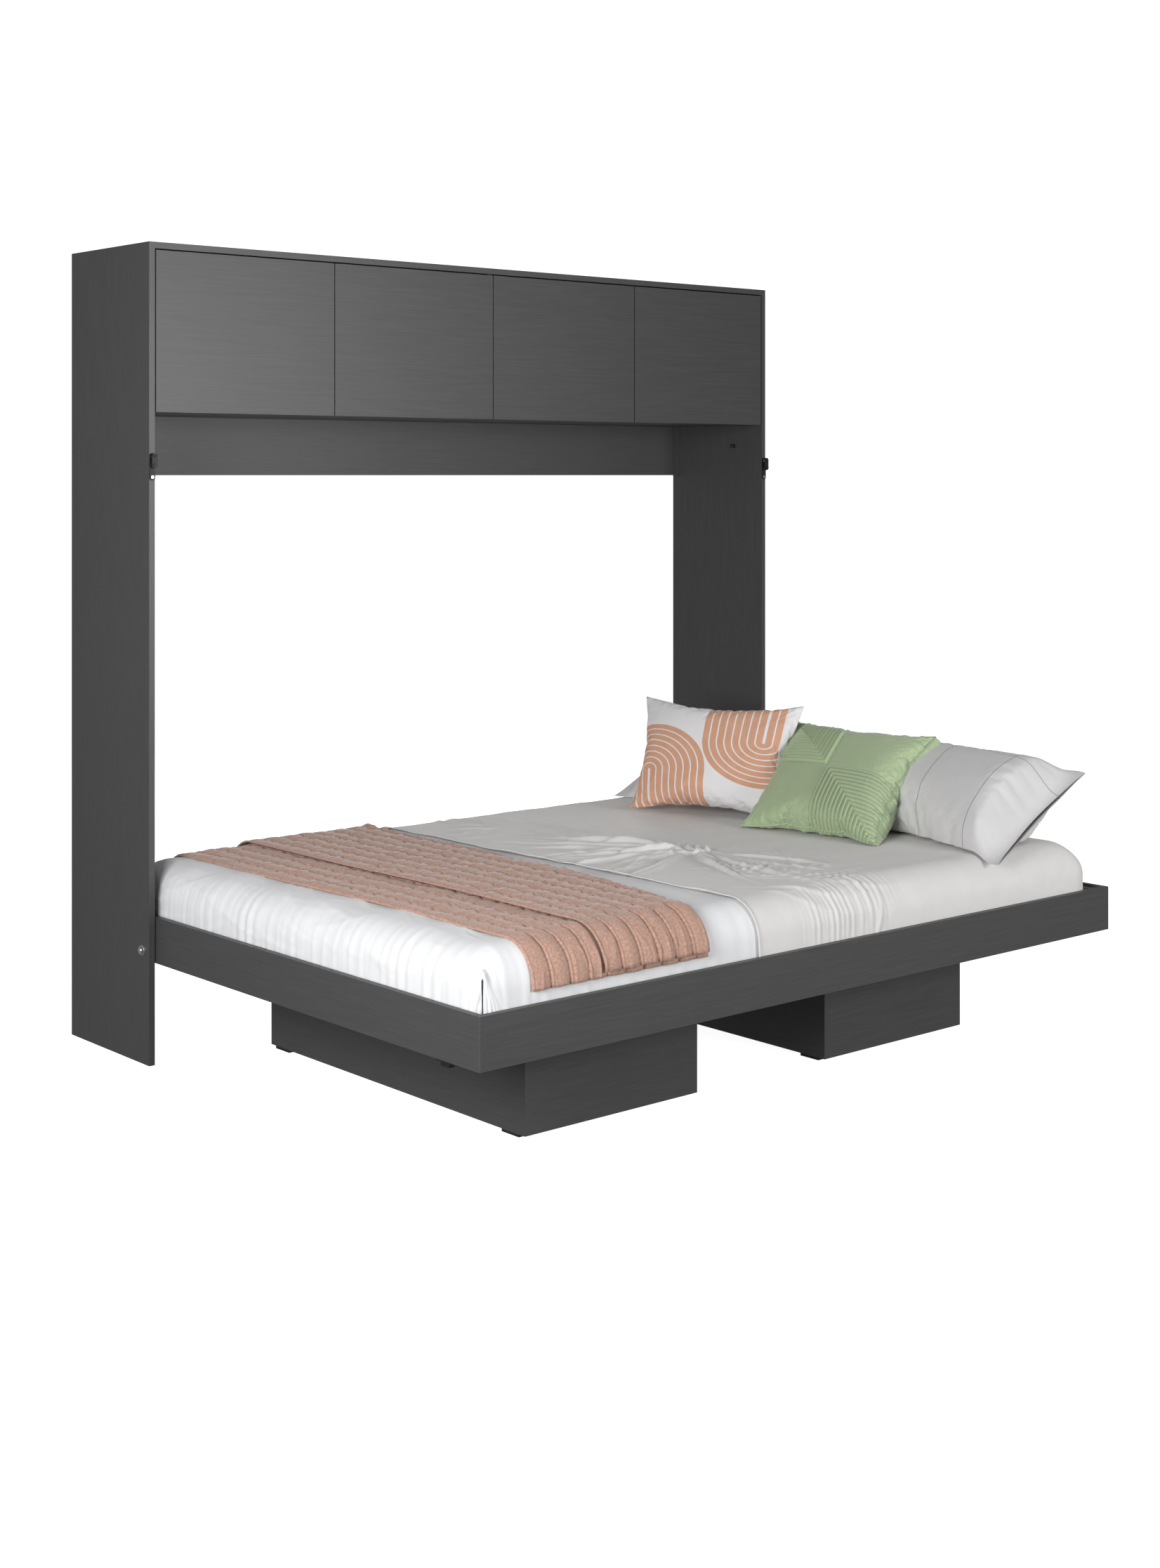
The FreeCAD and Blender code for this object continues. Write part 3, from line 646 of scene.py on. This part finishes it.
def fan(a, b, centre, heading, spread, count, near, far, rise, rng):
    """Fine folds that start near a point and run out from it, each a little bowed. heading is the way they
    go, in radians, and spread is how far to each side of it they turn."""
    height = np.zeros_like(a)
    for number in range(count):
        turn = heading + spread * (2 * (number + rng.uniform(-0.4, 1.4)) / count - 1)
        begin = near * rng.uniform(0.4, 3.5)
        run = far * rng.uniform(0.25, 1.0)
        drift = turn + rng.uniform(-0.12, 0.12)
        start = moved(centre, turn, begin)
        end = moved(centre, drift, run)
        width = rng.uniform(0.0045, 0.0105)
        height += crease(a, b, start, end, width, rise * rng.uniform(0.25, 1.0), rng.uniform(-0.035, 0.035))
    return height


def top_sheet_folds(a, b):
    """The top sheet's folds: the fans round its pinched spot, and the ripples over its front edge.
    They fade out towards the head, and are slight at the hem."""
    rng = np.random.default_rng(21)
    height = np.zeros_like(a)
    for (x, y), heading, *measures in SHEET_FANS:
        height += fan(a, b, (top_a(x), top_b(y)), math.radians(heading), *measures, rng)
    for _ in range(FRONT_FOLDS):
        start = (top_a(rng.uniform(-0.22, 0.02)), top_b(rng.uniform(-0.66, -0.36)))
        end = moved(start, rng.uniform(-0.55, -0.15), rng.uniform(0.14, 0.34))
        height += crease(a, b, start, end, rng.uniform(0.005, 0.009), rng.uniform(0.0008, 0.0024), -0.05)
    ripple = waves(a, b * 0.25, 31, 7, 0.022, 0.30, 0.12, 0.2)
    middle = top_a(0.075) + 0.35 * (b + HALF.y)
    band = bell(a - middle, 0.105) * smooth_step(-b, INNER.y - 0.10, INNER.y + 0.05)
    height += RIPPLE_HEIGHT * ripple * band
    edge = (top_a(0.155), -(INNER.y - 0.03))
    height += crease(a, b, edge, (top_a(0.115), -(INNER.y + ARC + 0.10)), 0.0045, 0.0050, 0.03)
    calm = 1 - 0.85 * smooth_step(a, top_a(0.20), top_a(0.42))
    return height * calm * (0.15 + 0.85 * smooth_step(a, top_a(HEM_X), top_a(HEM_X) + 0.04))


def make_top_sheet(material):
    """The top sheet, from its turned hem to the head end, tucked in behind the rails."""
    tuck = RAIL_TOP - SHEET_TUCK_DEPTH
    far_a = cloth_reach(tuck, INNER.x)
    far_b = cloth_reach(tuck, INNER.y)
    near = top_a(HEM_X)
    fine = cells(near, top_a(SHEET_FINE_TO_X), SHEET_CELL)
    coarse = cells(top_a(SHEET_FINE_TO_X) + SHEET_COARSE_CELL, far_a, SHEET_COARSE_CELL)
    a, b = np.meshgrid(np.concatenate([fine, coarse]), cells(-far_b, far_b, SHEET_CELL), indexing="ij")
    free = smooth_step(np.maximum(*past_flat_top(a, b)), ARC + 0.055, ARC - 0.01)
    height = top_sheet_folds(a, b) * (0.25 + 0.75 * free)
    height += 0.0007 * waves(a, b, 33, 7, 0.16, 0.6, 0.9, 3.1) * free + 0.0012
    hem = bell(a - near, 0.006)
    height += (HEM_RISE + 0.0012 * np.sin(b * 21) + 0.0010 * np.sin(b * 47 + 1)) * hem * (0.3 + 0.7 * free)
    sway = 0.018 * (b / HALF.y) + 0.004 * np.sin(b * 9)
    fade = smooth_step(a, near + 0.30, near)
    points = over_mattress(a - sway * fade, b, height + SHEET_LIFT)
    piece = surface_piece("top_sheet_cloth", points, np.stack([a, b], -1), material)
    thicken(piece, SHEET_THICKNESS)
    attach(piece, BED)
    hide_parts("top_sheet")


# The throw's right edge along X, at the front and at the back of the bed, its lower hem, and its cloth
THROW_RIGHT_FRONT_X = -0.382
THROW_RIGHT_BACK_X = -0.340
THROW_HEM_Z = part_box("throw_blanket")[0].z
THROW_THICKNESS = 0.0026
THROW_CELL = 0.0022
THROW_CELL_ALONG = 0.0065

# The quilting: the tucks' spacing, the heights of its parts, and how much longer the cloth is when laid flat
CHANNEL = 0.0490
PUFF_HEIGHT = 0.0054
TUCK_HEIGHT = 0.0030
CRINKLE_HEIGHT = 0.0018
HANGING_PULLS = 18
QUILT_TAKE_UP = 1.14


def quilt(across, along, seed):
    """Height of the quilted cloth: flat channels between pin tucks, with short crinkles that run into each
    tuck on the top of the bed, and slanting pulls where the cloth hangs."""
    place = across / CHANNEL
    channel = np.floor(place)
    part = place - channel
    puff = np.sin(math.pi * part) ** 0.7
    tuck = bell(part * CHANNEL - 0.0030, 0.0019)
    groove = bell((1 - part) * CHANNEL, 0.0022)
    rng = np.random.default_rng(seed)
    shift = rng.uniform(0, 2 * math.pi, 80)[channel.astype(int) % 80]
    stretch = rng.uniform(0.75, 1.3, 80)[channel.astype(int) % 80]
    crinkle = np.sin(2 * math.pi * along / (0.026 * stretch) + shift + 4 * part)
    crinkle += 0.7 * np.sin(2 * math.pi * along / (0.041 * stretch) + 2.1 * shift - 5 * part)
    hangs = smooth_step(np.abs(along), INNER.y - 0.03, INNER.y + 0.07)
    near_seam = 1 - np.sin(math.pi * part) ** 2
    slow = waves(across, along, seed + 1, 6, 0.10, 0.5, 1.0, 3.1)
    height = PUFF_HEIGHT * puff * (1 + 0.35 * slow) + TUCK_HEIGHT * tuck - TUCK_HEIGHT * groove
    height += CRINKLE_HEIGHT * crinkle * (0.30 + 0.70 * near_seam) * (1 - 0.88 * hangs) * (part > 0.08)
    for _ in range(HANGING_PULLS):
        start = (rng.uniform(0.01, 0.50), -(INNER.y + rng.uniform(0.04, 0.12)))
        end = (start[0] + rng.uniform(-0.035, 0.035), start[1] - rng.uniform(0.06, 0.10))
        height += crease(across, along, start, end, 0.0035, 0.0022)
    return height


def throw_layer(name, material, left_front, left_back, lift, lip, hem_z, seed):
    """One layer of the folded throw, laid across the bed with a drop at each side, and its flat size.
    left_front and left_back say where its left edge is along X at each side of the bed, lift is its height
    above the mattress, and lip how much higher its edges are."""
    far_b = cloth_reach(hem_z, INNER.y)
    width = THROW_RIGHT_BACK_X - left_back
    shares = np.linspace(0, 1, round(width / THROW_CELL))
    t, b = np.meshgrid(shares, cells(-far_b, far_b, THROW_CELL_ALONG), indexing="ij")
    share = np.clip((b + INNER.y) / (2 * INNER.y), 0, 1)
    left = top_a(left_front + (left_back - left_front) * share**3) + 0.004 * np.sin(b * 8 + seed)
    turn = smooth_step(b, -INNER.y, -INNER.y * 0.2)
    right = top_a(THROW_RIGHT_FRONT_X) + (THROW_RIGHT_BACK_X - THROW_RIGHT_FRONT_X) * turn
    right += 0.003 * np.sin(b * 7 + 2) + 0.018 * share**2
    a = left + (right - left) * t
    height = lift + quilt(a - left, b, seed)
    edge = np.minimum(t, 1 - t) * width
    height += lip * bell(edge, 0.006)
    points = over_mattress(a, b, height)
    piece = surface_piece(name, points, np.stack([a, b], -1), material)
    thicken(piece, THROW_THICKNESS)
    return piece, (width * QUILT_TAKE_UP, 2 * far_b)


def make_throw(material):
    """The throw, folded over on itself: a wide lower layer and a narrower upper one."""
    lower, size = throw_layer(
        "throw_lower_layer", material, left_front=-0.852, left_back=-0.872,
        lift=0.0042, lip=-0.0015, hem_z=THROW_HEM_Z, seed=41,
    )
    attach(lower, BED)
    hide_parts("throw_blanket")
    upper, size = throw_layer(
        "throw_upper_layer", material, left_front=-0.674, left_back=-0.686,
        lift=0.0135, lip=0.0018, hem_z=THROW_HEM_Z + 0.012, seed=47,
    )
    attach(upper, BED)


# ---------------- pillows and cushions


# The cloth's stiffness and pressure while it is blown up, and how finely it is divided
CLOTH_STIFFNESS = 15
CLOTH_SHEAR_STIFFNESS = 5
CLOTH_BENDING_STIFFNESS = 0.05
CLOTH_PRESSURE = 4
CLOTH_RISE = 0.010
CUSHION_CELL = 0.0075
PILLOW_CELL = 0.010


def sewn_sheets(front, back, open_start):
    """Two grids that share their rim, as one mesh: its vertices and faces, the vertex numbers of the front
    and of the back, and which of the back's points are its own. With open_start, the side at u = 0 shares
    only its two corners."""
    rows, columns = front.shape[:2]
    index = np.arange(rows * columns).reshape(rows, columns)
    loose = np.zeros((rows, columns), bool)
    loose[(0 if open_start else 1):-1, 1:-1] = True
    under = index.copy()
    under[loose] = rows * columns + np.arange(loose.sum())
    vertices = np.concatenate([front.reshape(-1, 3), back[loose]])
    faces = np.concatenate([quads_of(index), quads_of(under)[:, ::-1]]).tolist()
    return vertices, faces, index, under, loose


def blown_up(vertices, faces, frames, mouth):
    """The vertices of a closed cloth after that many frames with pressure inside, by Blender's cloth."""
    mesh = bpy.data.meshes.new("cloth_in_work")
    mesh.from_pydata(vertices.tolist(), [], faces)
    piece = put_in_scene("cloth_in_work", mesh)
    settings = piece.modifiers.new("blow_up", "CLOTH").settings
    settings.quality = 5
    settings.mass = 0.1
    settings.tension_stiffness = CLOTH_STIFFNESS
    settings.compression_stiffness = CLOTH_STIFFNESS
    settings.shear_stiffness = CLOTH_SHEAR_STIFFNESS
    settings.bending_stiffness = CLOTH_BENDING_STIFFNESS
    settings.use_pressure = True
    settings.uniform_pressure_force = CLOTH_PRESSURE
    settings.effector_weights.gravity = 0
    if mouth:
        group = piece.vertex_groups.new(name="stuffed")
        for i, point in enumerate(vertices):
            group.add([i], float(smooth_step(point[0], mouth * 0.2, mouth * 1.2)), "REPLACE")
        settings.vertex_group_pressure = "stuffed"
    scene = bpy.context.scene
    scene.frame_start = 1
    scene.frame_end = frames
    for number in range(1, frames + 1):
        scene.frame_set(number)
    result = piece.evaluated_get(bpy.context.evaluated_depsgraph_get()).data
    flat = np.zeros(len(result.vertices) * 3)
    result.vertices.foreach_get("co", flat)
    scene.frame_set(1)
    bpy.data.objects.remove(piece)
    return flat.reshape(-1, 3)


def squared_up(front, back, width, height):
    """Both grids, moved so that their four corners are back where they were before the cloth drew in."""
    rows, columns = front.shape[:2]
    across, up = np.meshgrid(np.linspace(0, 1, rows), np.linspace(0, 1, columns), indexing="ij")
    for end, side in ((0, 0), (0, -1), (-1, 0), (-1, -1)):
        wanted = np.array([width if end else 0.0, height if side else 0.0, 0.0])
        share = (across if end else 1 - across) * (up if side else 1 - up)
        pull = share[..., None] * (wanted - front[end, side])
        front = front + pull
        back = back + pull
    return front, back


def inflate(width, height, cell, frames, mouth=0.0):
    """Two cloth sheets sewn round the edge and blown up: returns the front and back grids. With a mouth, the
    side at u = 0 is an open sleeve of that length with nothing in it."""
    u, v = np.meshgrid(cells(0, width, cell), cells(0, height, cell), indexing="ij")
    rise = CLOTH_RISE * np.sqrt(np.sin(math.pi * np.clip(v / height, 0, 1)))
    rise *= np.sqrt(np.clip(1 - u / width, 0, 1)) if mouth else np.sqrt(np.sin(math.pi * u / width))
    front = np.stack([u, v, rise], -1)
    back = np.stack([u, v, -rise], -1)
    vertices, faces, index, under, _ = sewn_sheets(front, back, bool(mouth))
    blown = blown_up(vertices, faces, frames, mouth)
    return squared_up(blown[index], blown[under], width, height)


def finer(grid, factor):
    """The same grid with more points, by a cubic through its neighbours."""
    for axis in (0, 1):
        count = grid.shape[axis]
        places = np.linspace(0, count - 1, (count - 1) * factor + 1)
        base = np.clip(places.astype(int), 0, count - 2)
        t = (places - base).reshape([-1 if i == axis else 1 for i in range(grid.ndim)])
        before = np.take(grid, np.maximum(base - 1, 0), axis)
        here = np.take(grid, base, axis)
        there = np.take(grid, base + 1, axis)
        after = np.take(grid, np.minimum(base + 2, count - 1), axis)
        cubed = 3 * (here - there) + after - before
        squared = 2 * before - 5 * here + 4 * there - after
        grid = here + 0.5 * t * (there - before + t * (squared + t * cubed))
    return grid


def facing(corners):
    """The direction that a cushion with those corners faces."""
    low_start, high_start, low_end = [np.array(corner) for corner in corners[:3]]
    out = np.cross(low_end - low_start, high_start - low_start)
    return out / np.linalg.norm(out)


# How high a pillow's underside stays over the bed, and how gently it comes to rest there
REST_LIFT = 0.009
REST_SOFTNESS = 0.010


def put_in_place(grids, width, height, thickness, corners):
    """Puts a cushion's grids where its corners say: lower and upper corner at u = 0, then at u = width.
    Points that would go into the bed rest on it."""
    points = np.stack(grids)
    low_start, high_start, low_end, high_end = [np.array(corner) for corner in corners]
    out = facing(corners)
    u = points[..., 0:1] / width
    v = points[..., 1:2] / height
    middle = (1 - u) * ((1 - v) * low_start + v * high_start) + u * ((1 - v) * low_end + v * high_end)
    placed = middle + out * points[..., 2:3] * thickness
    past = np.clip(np.abs(placed[..., 1] - CENTRE.y) - INNER.y, 0, EDGE)
    rest = BED_TOP + REST_LIFT - EDGE + np.sqrt(EDGE**2 - past**2)
    gap = placed[..., 2] - rest
    placed[..., 2] = rest + 0.5 * (gap + np.sqrt(gap**2 + REST_SOFTNESS**2))
    return placed


def joined_cushion(name, front, back, uv_front, material, open_start=False):
    """One mesh from a front and a back grid that share their rim."""
    vertices, faces, _, _, loose = sewn_sheets(front, back, open_start)
    uvs = np.concatenate([uv_front.reshape(-1, 2), uv_front[loose]])
    return mesh_piece(name, vertices, faces, uvs, material)


STRIP_SWELL = 0.006
STRIP_STEPS = 6


def boxed_cushion(name, front, back, uv_front, out, material):
    """One mesh from a front and a back grid with a narrow strip of cloth sewn in between their rims. out is
    the way that the cushion faces."""
    rows, columns = front.shape[:2]
    count = rows * columns
    index = np.arange(count).reshape(rows, columns)
    rim = rim_of(index)
    flat_front = front.reshape(-1, 3)
    flat_back = back.reshape(-1, 3)
    flat_uvs = uv_front.reshape(-1, 2)
    middle = flat_front[rim].mean(0)
    away = flat_front[rim] - middle
    away -= (away @ out)[:, None] * out
    away /= np.linalg.norm(away, axis=1)[:, None]
    strips = []
    around = np.arange(len(rim))
    unevenness = 1 + 0.35 * np.sin(around * 0.19) + 0.25 * np.sin(around * 0.43)
    for k in range(1, STRIP_STEPS):
        share = k / STRIP_STEPS
        swell = STRIP_SWELL * math.sin(math.pi * share) * unevenness
        strips.append((1 - share) * flat_front[rim] + share * flat_back[rim] + away * swell[:, None])
    vertices = np.concatenate([flat_front, flat_back, *strips])
    uvs = np.concatenate([flat_uvs] * 2 + [flat_uvs[rim]] * (STRIP_STEPS - 1))
    rings = [rim] + [2 * count + k * len(rim) + around for k in range(STRIP_STEPS - 1)] + [rim + count]
    side = [np.stack([a, b, np.roll(b, -1), np.roll(a, -1)], -1) for a, b in zip(rings, rings[1:])]
    faces = np.concatenate([quads_of(index), quads_of(index + count)[:, ::-1], *side])
    return mesh_piece(name, vertices, faces.tolist(), uvs, material)


def piping(name, loop, radius, material):
    """A thin sewn cord along a closed loop of points, such as a cushion's seam."""
    ahead = np.roll(loop, -2, 0) - np.roll(loop, 2, 0)
    ahead /= np.linalg.norm(ahead, axis=1)[:, None]
    spread = loop - loop.mean(0)
    side = spread - (spread * ahead).sum(1)[:, None] * ahead
    side /= np.linalg.norm(side, axis=1)[:, None]
    up = np.cross(ahead, side)
    turns = np.linspace(0, 2 * math.pi, 9)
    around = [loop + radius * (math.cos(t) * side + math.sin(t) * up) for t in turns]
    points = np.stack([np.concatenate([ring, ring[:1]]) for ring in around], 1)
    travelled = np.concatenate([[0], np.cumsum(np.linalg.norm(np.diff(points[:, 0], axis=0), axis=1))])
    uvs = np.stack(np.meshgrid(travelled, turns * radius, indexing="ij"), -1)
    piece = surface_piece(name, points, uvs, material)
    weld(piece)
    return piece


def weld(piece):
    """Joins the points that a closed grid repeats where it meets itself."""
    mesh = bmesh.new()
    mesh.from_mesh(piece.data)
    bmesh.ops.remove_doubles(mesh, verts=mesh.verts, dist=1e-6)
    mesh.to_mesh(piece.data)
    mesh.free()


def ride_and_flatten(piece):
    """The piece rides on the bed, with a mesh of its own."""
    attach(piece, BED)
    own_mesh(piece)


def settle(piece, node):
    """The piece takes the place of a CAD node, and rides on the bed."""
    ride_and_flatten(piece)
    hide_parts(node)


def rest_grid(front, width, height):
    """The grid's places on the flat cloth: u along its width, v along its height."""
    rows, columns = front.shape[:2]
    u, v = np.meshgrid(np.linspace(0, width, rows), np.linspace(0, height, columns), indexing="ij")
    return u, v


def seam_puckers(u, v, width, height, depth, seed):
    """Heights of short dents that run in from the sewn edge."""
    to_u = np.minimum(u, width - u)
    to_v = np.minimum(v, height - v)
    edge = np.minimum(to_u, to_v)
    along = np.where(to_u < to_v, v, u)
    rng = np.random.default_rng(seed)
    dents = np.zeros_like(u)
    for _ in range(9):
        length = rng.uniform(0.018, 0.05)
        dents += np.sin(2 * math.pi * along / length + rng.uniform(0, 6.3))
    return depth * dents / 3 * np.exp(-edge / 0.020) * smooth_step(edge, 0, 0.004)


# The square cushion: the share of its blown-up thickness that it keeps, its side strip's width, its cord, and
# its lower and upper corner at u = 0, then at u = width
SQUARE_THICKNESS = 0.80
SQUARE_STRIP = 0.034
SQUARE_CORD_RADIUS = 0.0036
SQUARE_CORNERS = (
    (0.429, -0.069, 0.458),
    (0.747, 0.040, 0.697),
    (0.474, -0.485, 0.456),
    (0.777, -0.422, 0.696),
)
PLEAT_HEIGHT = 0.0075
CROSS_SEAM_DEPTH = 0.0010


def square_relief(u, v):
    """Heights of the square cushion's pleats, in two of its quarters, and of the seams of its cross."""
    width, height = SQUARE_SIZE
    du = u / width - 0.5
    dv = v / height - 0.5
    cover = smooth_step(np.minimum(0.5 - np.abs(du), 0.5 - np.abs(dv)), 0.004, 0.03)
    pleated = ((du < 0) & (dv > 0)) | ((du > 0) & (dv < 0))
    level = np.where(np.abs(du) > np.abs(dv), np.abs(dv) * height, np.abs(du) * width) / PLEAT_PITCH
    part = level - np.floor(level)
    pleat = np.where(part < 0.75, part / 0.75, (1 - part) / 0.25)
    from_cross = np.minimum(np.abs(du) * width, np.abs(dv) * height)
    relief = PLEAT_HEIGHT * pleat * cover * pleated * smooth_step(from_cross, 0.001, 0.010)
    seam = bell(du * width, 0.003) + bell(dv * height, 0.003)
    return relief - CROSS_SEAM_DEPTH * seam * cover


def make_square_cushion(material):
    """The green cushion: a cross of seams, pleated and plain quarters, a side strip and a cord."""
    width, height = SQUARE_SIZE
    front, back = [finer(grid, 4) for grid in inflate(width, height, CUSHION_CELL, frames=13)]
    u, v = rest_grid(front, width, height)
    front[..., 2] += square_relief(u, v) + seam_puckers(u, v, width, height, depth=0.0065, seed=61)
    back[..., 2] -= seam_puckers(u, v, width, height, depth=0.0040, seed=62) + SQUARE_STRIP / SQUARE_THICKNESS
    front, back = put_in_place((front, back), width, height, SQUARE_THICKNESS, SQUARE_CORNERS)
    uvs = np.stack([u, v], -1)
    piece = boxed_cushion("square_cushion_cover", front, back, uvs, facing(SQUARE_CORNERS), material)
    settle(piece, "square_cushion")
    rim = rim_of(np.arange(u.size).reshape(u.shape))
    cord = piping("square_cushion_piping", front.reshape(-1, 3)[rim][::2], SQUARE_CORD_RADIUS, material)
    ride_and_flatten(cord)


OBLONG_SIZE = (0.48, 0.345)
OBLONG_THICKNESS = 0.85
OBLONG_CORNERS = (
    (0.400, 0.325, 0.462),
    (0.543, 0.416, 0.752),
    (0.545, -0.112, 0.462),
    (0.690, -0.045, 0.752),
)


def make_oblong_cushion(material):
    """The printed cushion: two plain sides with no strip between them."""
    width, height = OBLONG_SIZE
    front, back = [finer(grid, 2) for grid in inflate(width, height, CUSHION_CELL, frames=12)]
    u, v = rest_grid(front, width, height)
    front[..., 2] += seam_puckers(u, v, width, height, depth=0.0030, seed=66)
    front, back = put_in_place((front, back), width, height, OBLONG_THICKNESS, OBLONG_CORNERS)
    piece = joined_cushion("oblong_cushion_cover", front, back, np.stack([u, v], -1), material)
    settle(piece, "oblong_cushion")


# The pillow case: its open end's length, its two seams across and one along, and their look
CUFF = 0.085
CASE_SEAMS = (0.125, 0.300)
CASE_LENGTH_SEAM = 0.315
STITCH_HALF_WIDTH = 0.0012
STITCH_INK = (0.22, 0.215, 0.21)
STITCH_DEPTH = 0.0012


def stitch_case(nodes, u, v, ground, tone):
    """Paints the pillow case's stitched lines."""
    marks = 0.0
    for seam, side in [(across, u) for across in CASE_SEAMS] + [(CASE_LENGTH_SEAM, v)]:
        off = nodes.maths("ABSOLUTE", nodes.maths("SUBTRACT", side, seam))
        marks = nodes.maths("ADD", nodes.maths("LESS_THAN", off, STITCH_HALF_WIDTH), marks)
    return nodes.mix(nodes.maths("MULTIPLY", marks, 0.75), ground, (*STITCH_INK, 1))


def calmed(grid, mouth):
    """The grid with its ripples averaged out towards the open edge, where the cuff hangs flat."""
    smooth = grid.copy()
    for _ in range(30):
        smooth[:, 1:-1] = 0.25 * smooth[:, :-2] + 0.5 * smooth[:, 1:-1] + 0.25 * smooth[:, 2:]
    share = smooth_step(grid[..., 0:1], mouth * 1.6, mouth * 0.4)
    return grid + (smooth - grid) * share


PILLOW_THICKNESS = 0.9
PILLOW_HEIGHT = 0.43
FRONT_PILLOW_WIDTH = 0.66
FRONT_PILLOW_CORNERS = (
    (0.562, -0.795, 0.446),
    (0.932, -0.773, 0.628),
    (0.662, -0.140, 0.460),
    (0.915, -0.115, 0.655),
)
REAR_PILLOW_WIDTH = 0.68
REAR_PILLOW_CORNERS = (
    (0.520, 0.530, 0.458),
    (0.880, 0.545, 0.635),
    (0.660, -0.110, 0.462),
    (0.915, -0.130, 0.655),
)


def make_sleeping_pillow(name, node, width, corners, material):
    """A bed pillow in its case, whose hemmed end, at u = 0, is an open sleeve."""
    height = PILLOW_HEIGHT
    sides = inflate(width, height, PILLOW_CELL, frames=13, mouth=CUFF)
    front, back = [finer(calmed(grid, CUFF), 2) for grid in sides]
    u, v = rest_grid(front, width, height)
    lines = sum(bell(u - across, 0.0025) for across in CASE_SEAMS)
    lines += bell(v - CASE_LENGTH_SEAM, 0.0025)
    front[..., 2] -= STITCH_DEPTH * lines
    front[..., 2] += seam_puckers(u, v, width, height, depth=0.0035, seed=71) * smooth_step(u, 0, CUFF)
    limp = smooth_step(u, CUFF * 1.15, 0.0)
    bow = np.sin(math.pi * v / height) ** 0.7
    front[..., 2] += limp * (0.022 * bow - front[..., 2])
    back[..., 2] += limp * (0.010 * bow - back[..., 2])
    front, back = put_in_place((front, back), width, height, PILLOW_THICKNESS, corners)
    piece = joined_cushion(name, front, back, np.stack([u, v], -1), material, open_start=True)
    settle(piece, node)


def make_pillows(material):
    for end, width, corners in (
        ("front", FRONT_PILLOW_WIDTH, FRONT_PILLOW_CORNERS),
        ("rear", REAR_PILLOW_WIDTH, REAR_PILLOW_CORNERS),
    ):
        make_sleeping_pillow(end + "_pillow_in_case", "sleeping_pillow_" + end, width, corners, material)


# ---------------- finishes of the hard parts


def grain_axis(name):
    """The way that the laminate's grain runs: along each board's length, and upright on the side panels."""
    low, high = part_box(name)
    size = high - low
    if name.endswith("side_panel"):
        return "Z"
    return "XYZ"[max(range(3), key=lambda axis: size[axis])]


def finish_hard_parts():
    """Gives each CAD piece the finish of its material slot."""
    boards = {axis: laminate("charcoal_laminate_grain_" + axis.lower(), axis) for axis in "XYZ"}
    finishes = {
        "hardboard": laminate("painted_hardboard", "X", shade(LAMINATE, 0.9)),
        "zinc_steel": metal("zinc_plate", (0.62, 0.62, 0.60), 0.35),
        "chromed_steel": metal("bright_plate", (0.78, 0.78, 0.78), 0.18),
        "black_steel": metal("black_powder_coat", (0.004, 0.004, 0.004), 0.6, 0.0),
        "nylon": metal("dark_nylon", (0.015, 0.015, 0.015), 0.5, 0.0),
        "pad_rubber": metal("black_rubber", (0.012, 0.012, 0.012), 0.75, 0.0, 120.0),
    }
    for name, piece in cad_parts.items():
        slot = piece.data.materials[0].name.split(".")[0]
        if slot == "charcoal_laminate":
            piece.data.materials[0] = boards[grain_axis(name)]
        elif slot in finishes:
            piece.data.materials[0] = finishes[slot]


WHITE = (0.77, 0.775, 0.79)
WARM_GREY = (0.70, 0.685, 0.67)
LIGHT_GREY = (0.66, 0.65, 0.655)
DUSTY_PINK = (0.46, 0.280, 0.215)
PRINT_GROUND = (0.80, 0.79, 0.80)


def make_bedding():
    velour = fabric("dusty_pink_velour", DUSTY_PINK, pitch=0.0022, mottle=0.30, blotch=190.0, sheen=0.25)
    satin = fabric("sage_satin", SAGE, mottle=0.03, roughness=0.42, sheen=0.35, paint=paint_pleat_shade)
    make_mattress(fabric("white_cotton", WHITE, mottle=0.02, paint=paint_seam_shade))
    make_top_sheet(fabric("warm_grey_cotton", WARM_GREY, mottle=0.03))
    make_throw(velour)
    make_pillows(fabric("light_grey_cotton", LIGHT_GREY, mottle=0.03, paint=stitch_case))
    make_square_cushion(satin)
    make_oblong_cushion(fabric("printed_cotton", PRINT_GROUND, mottle=0.02, paint=print_arches))


make_camera()
make_world()
make_lights()
make_backdrop()
finish_hard_parts()
make_bedding()
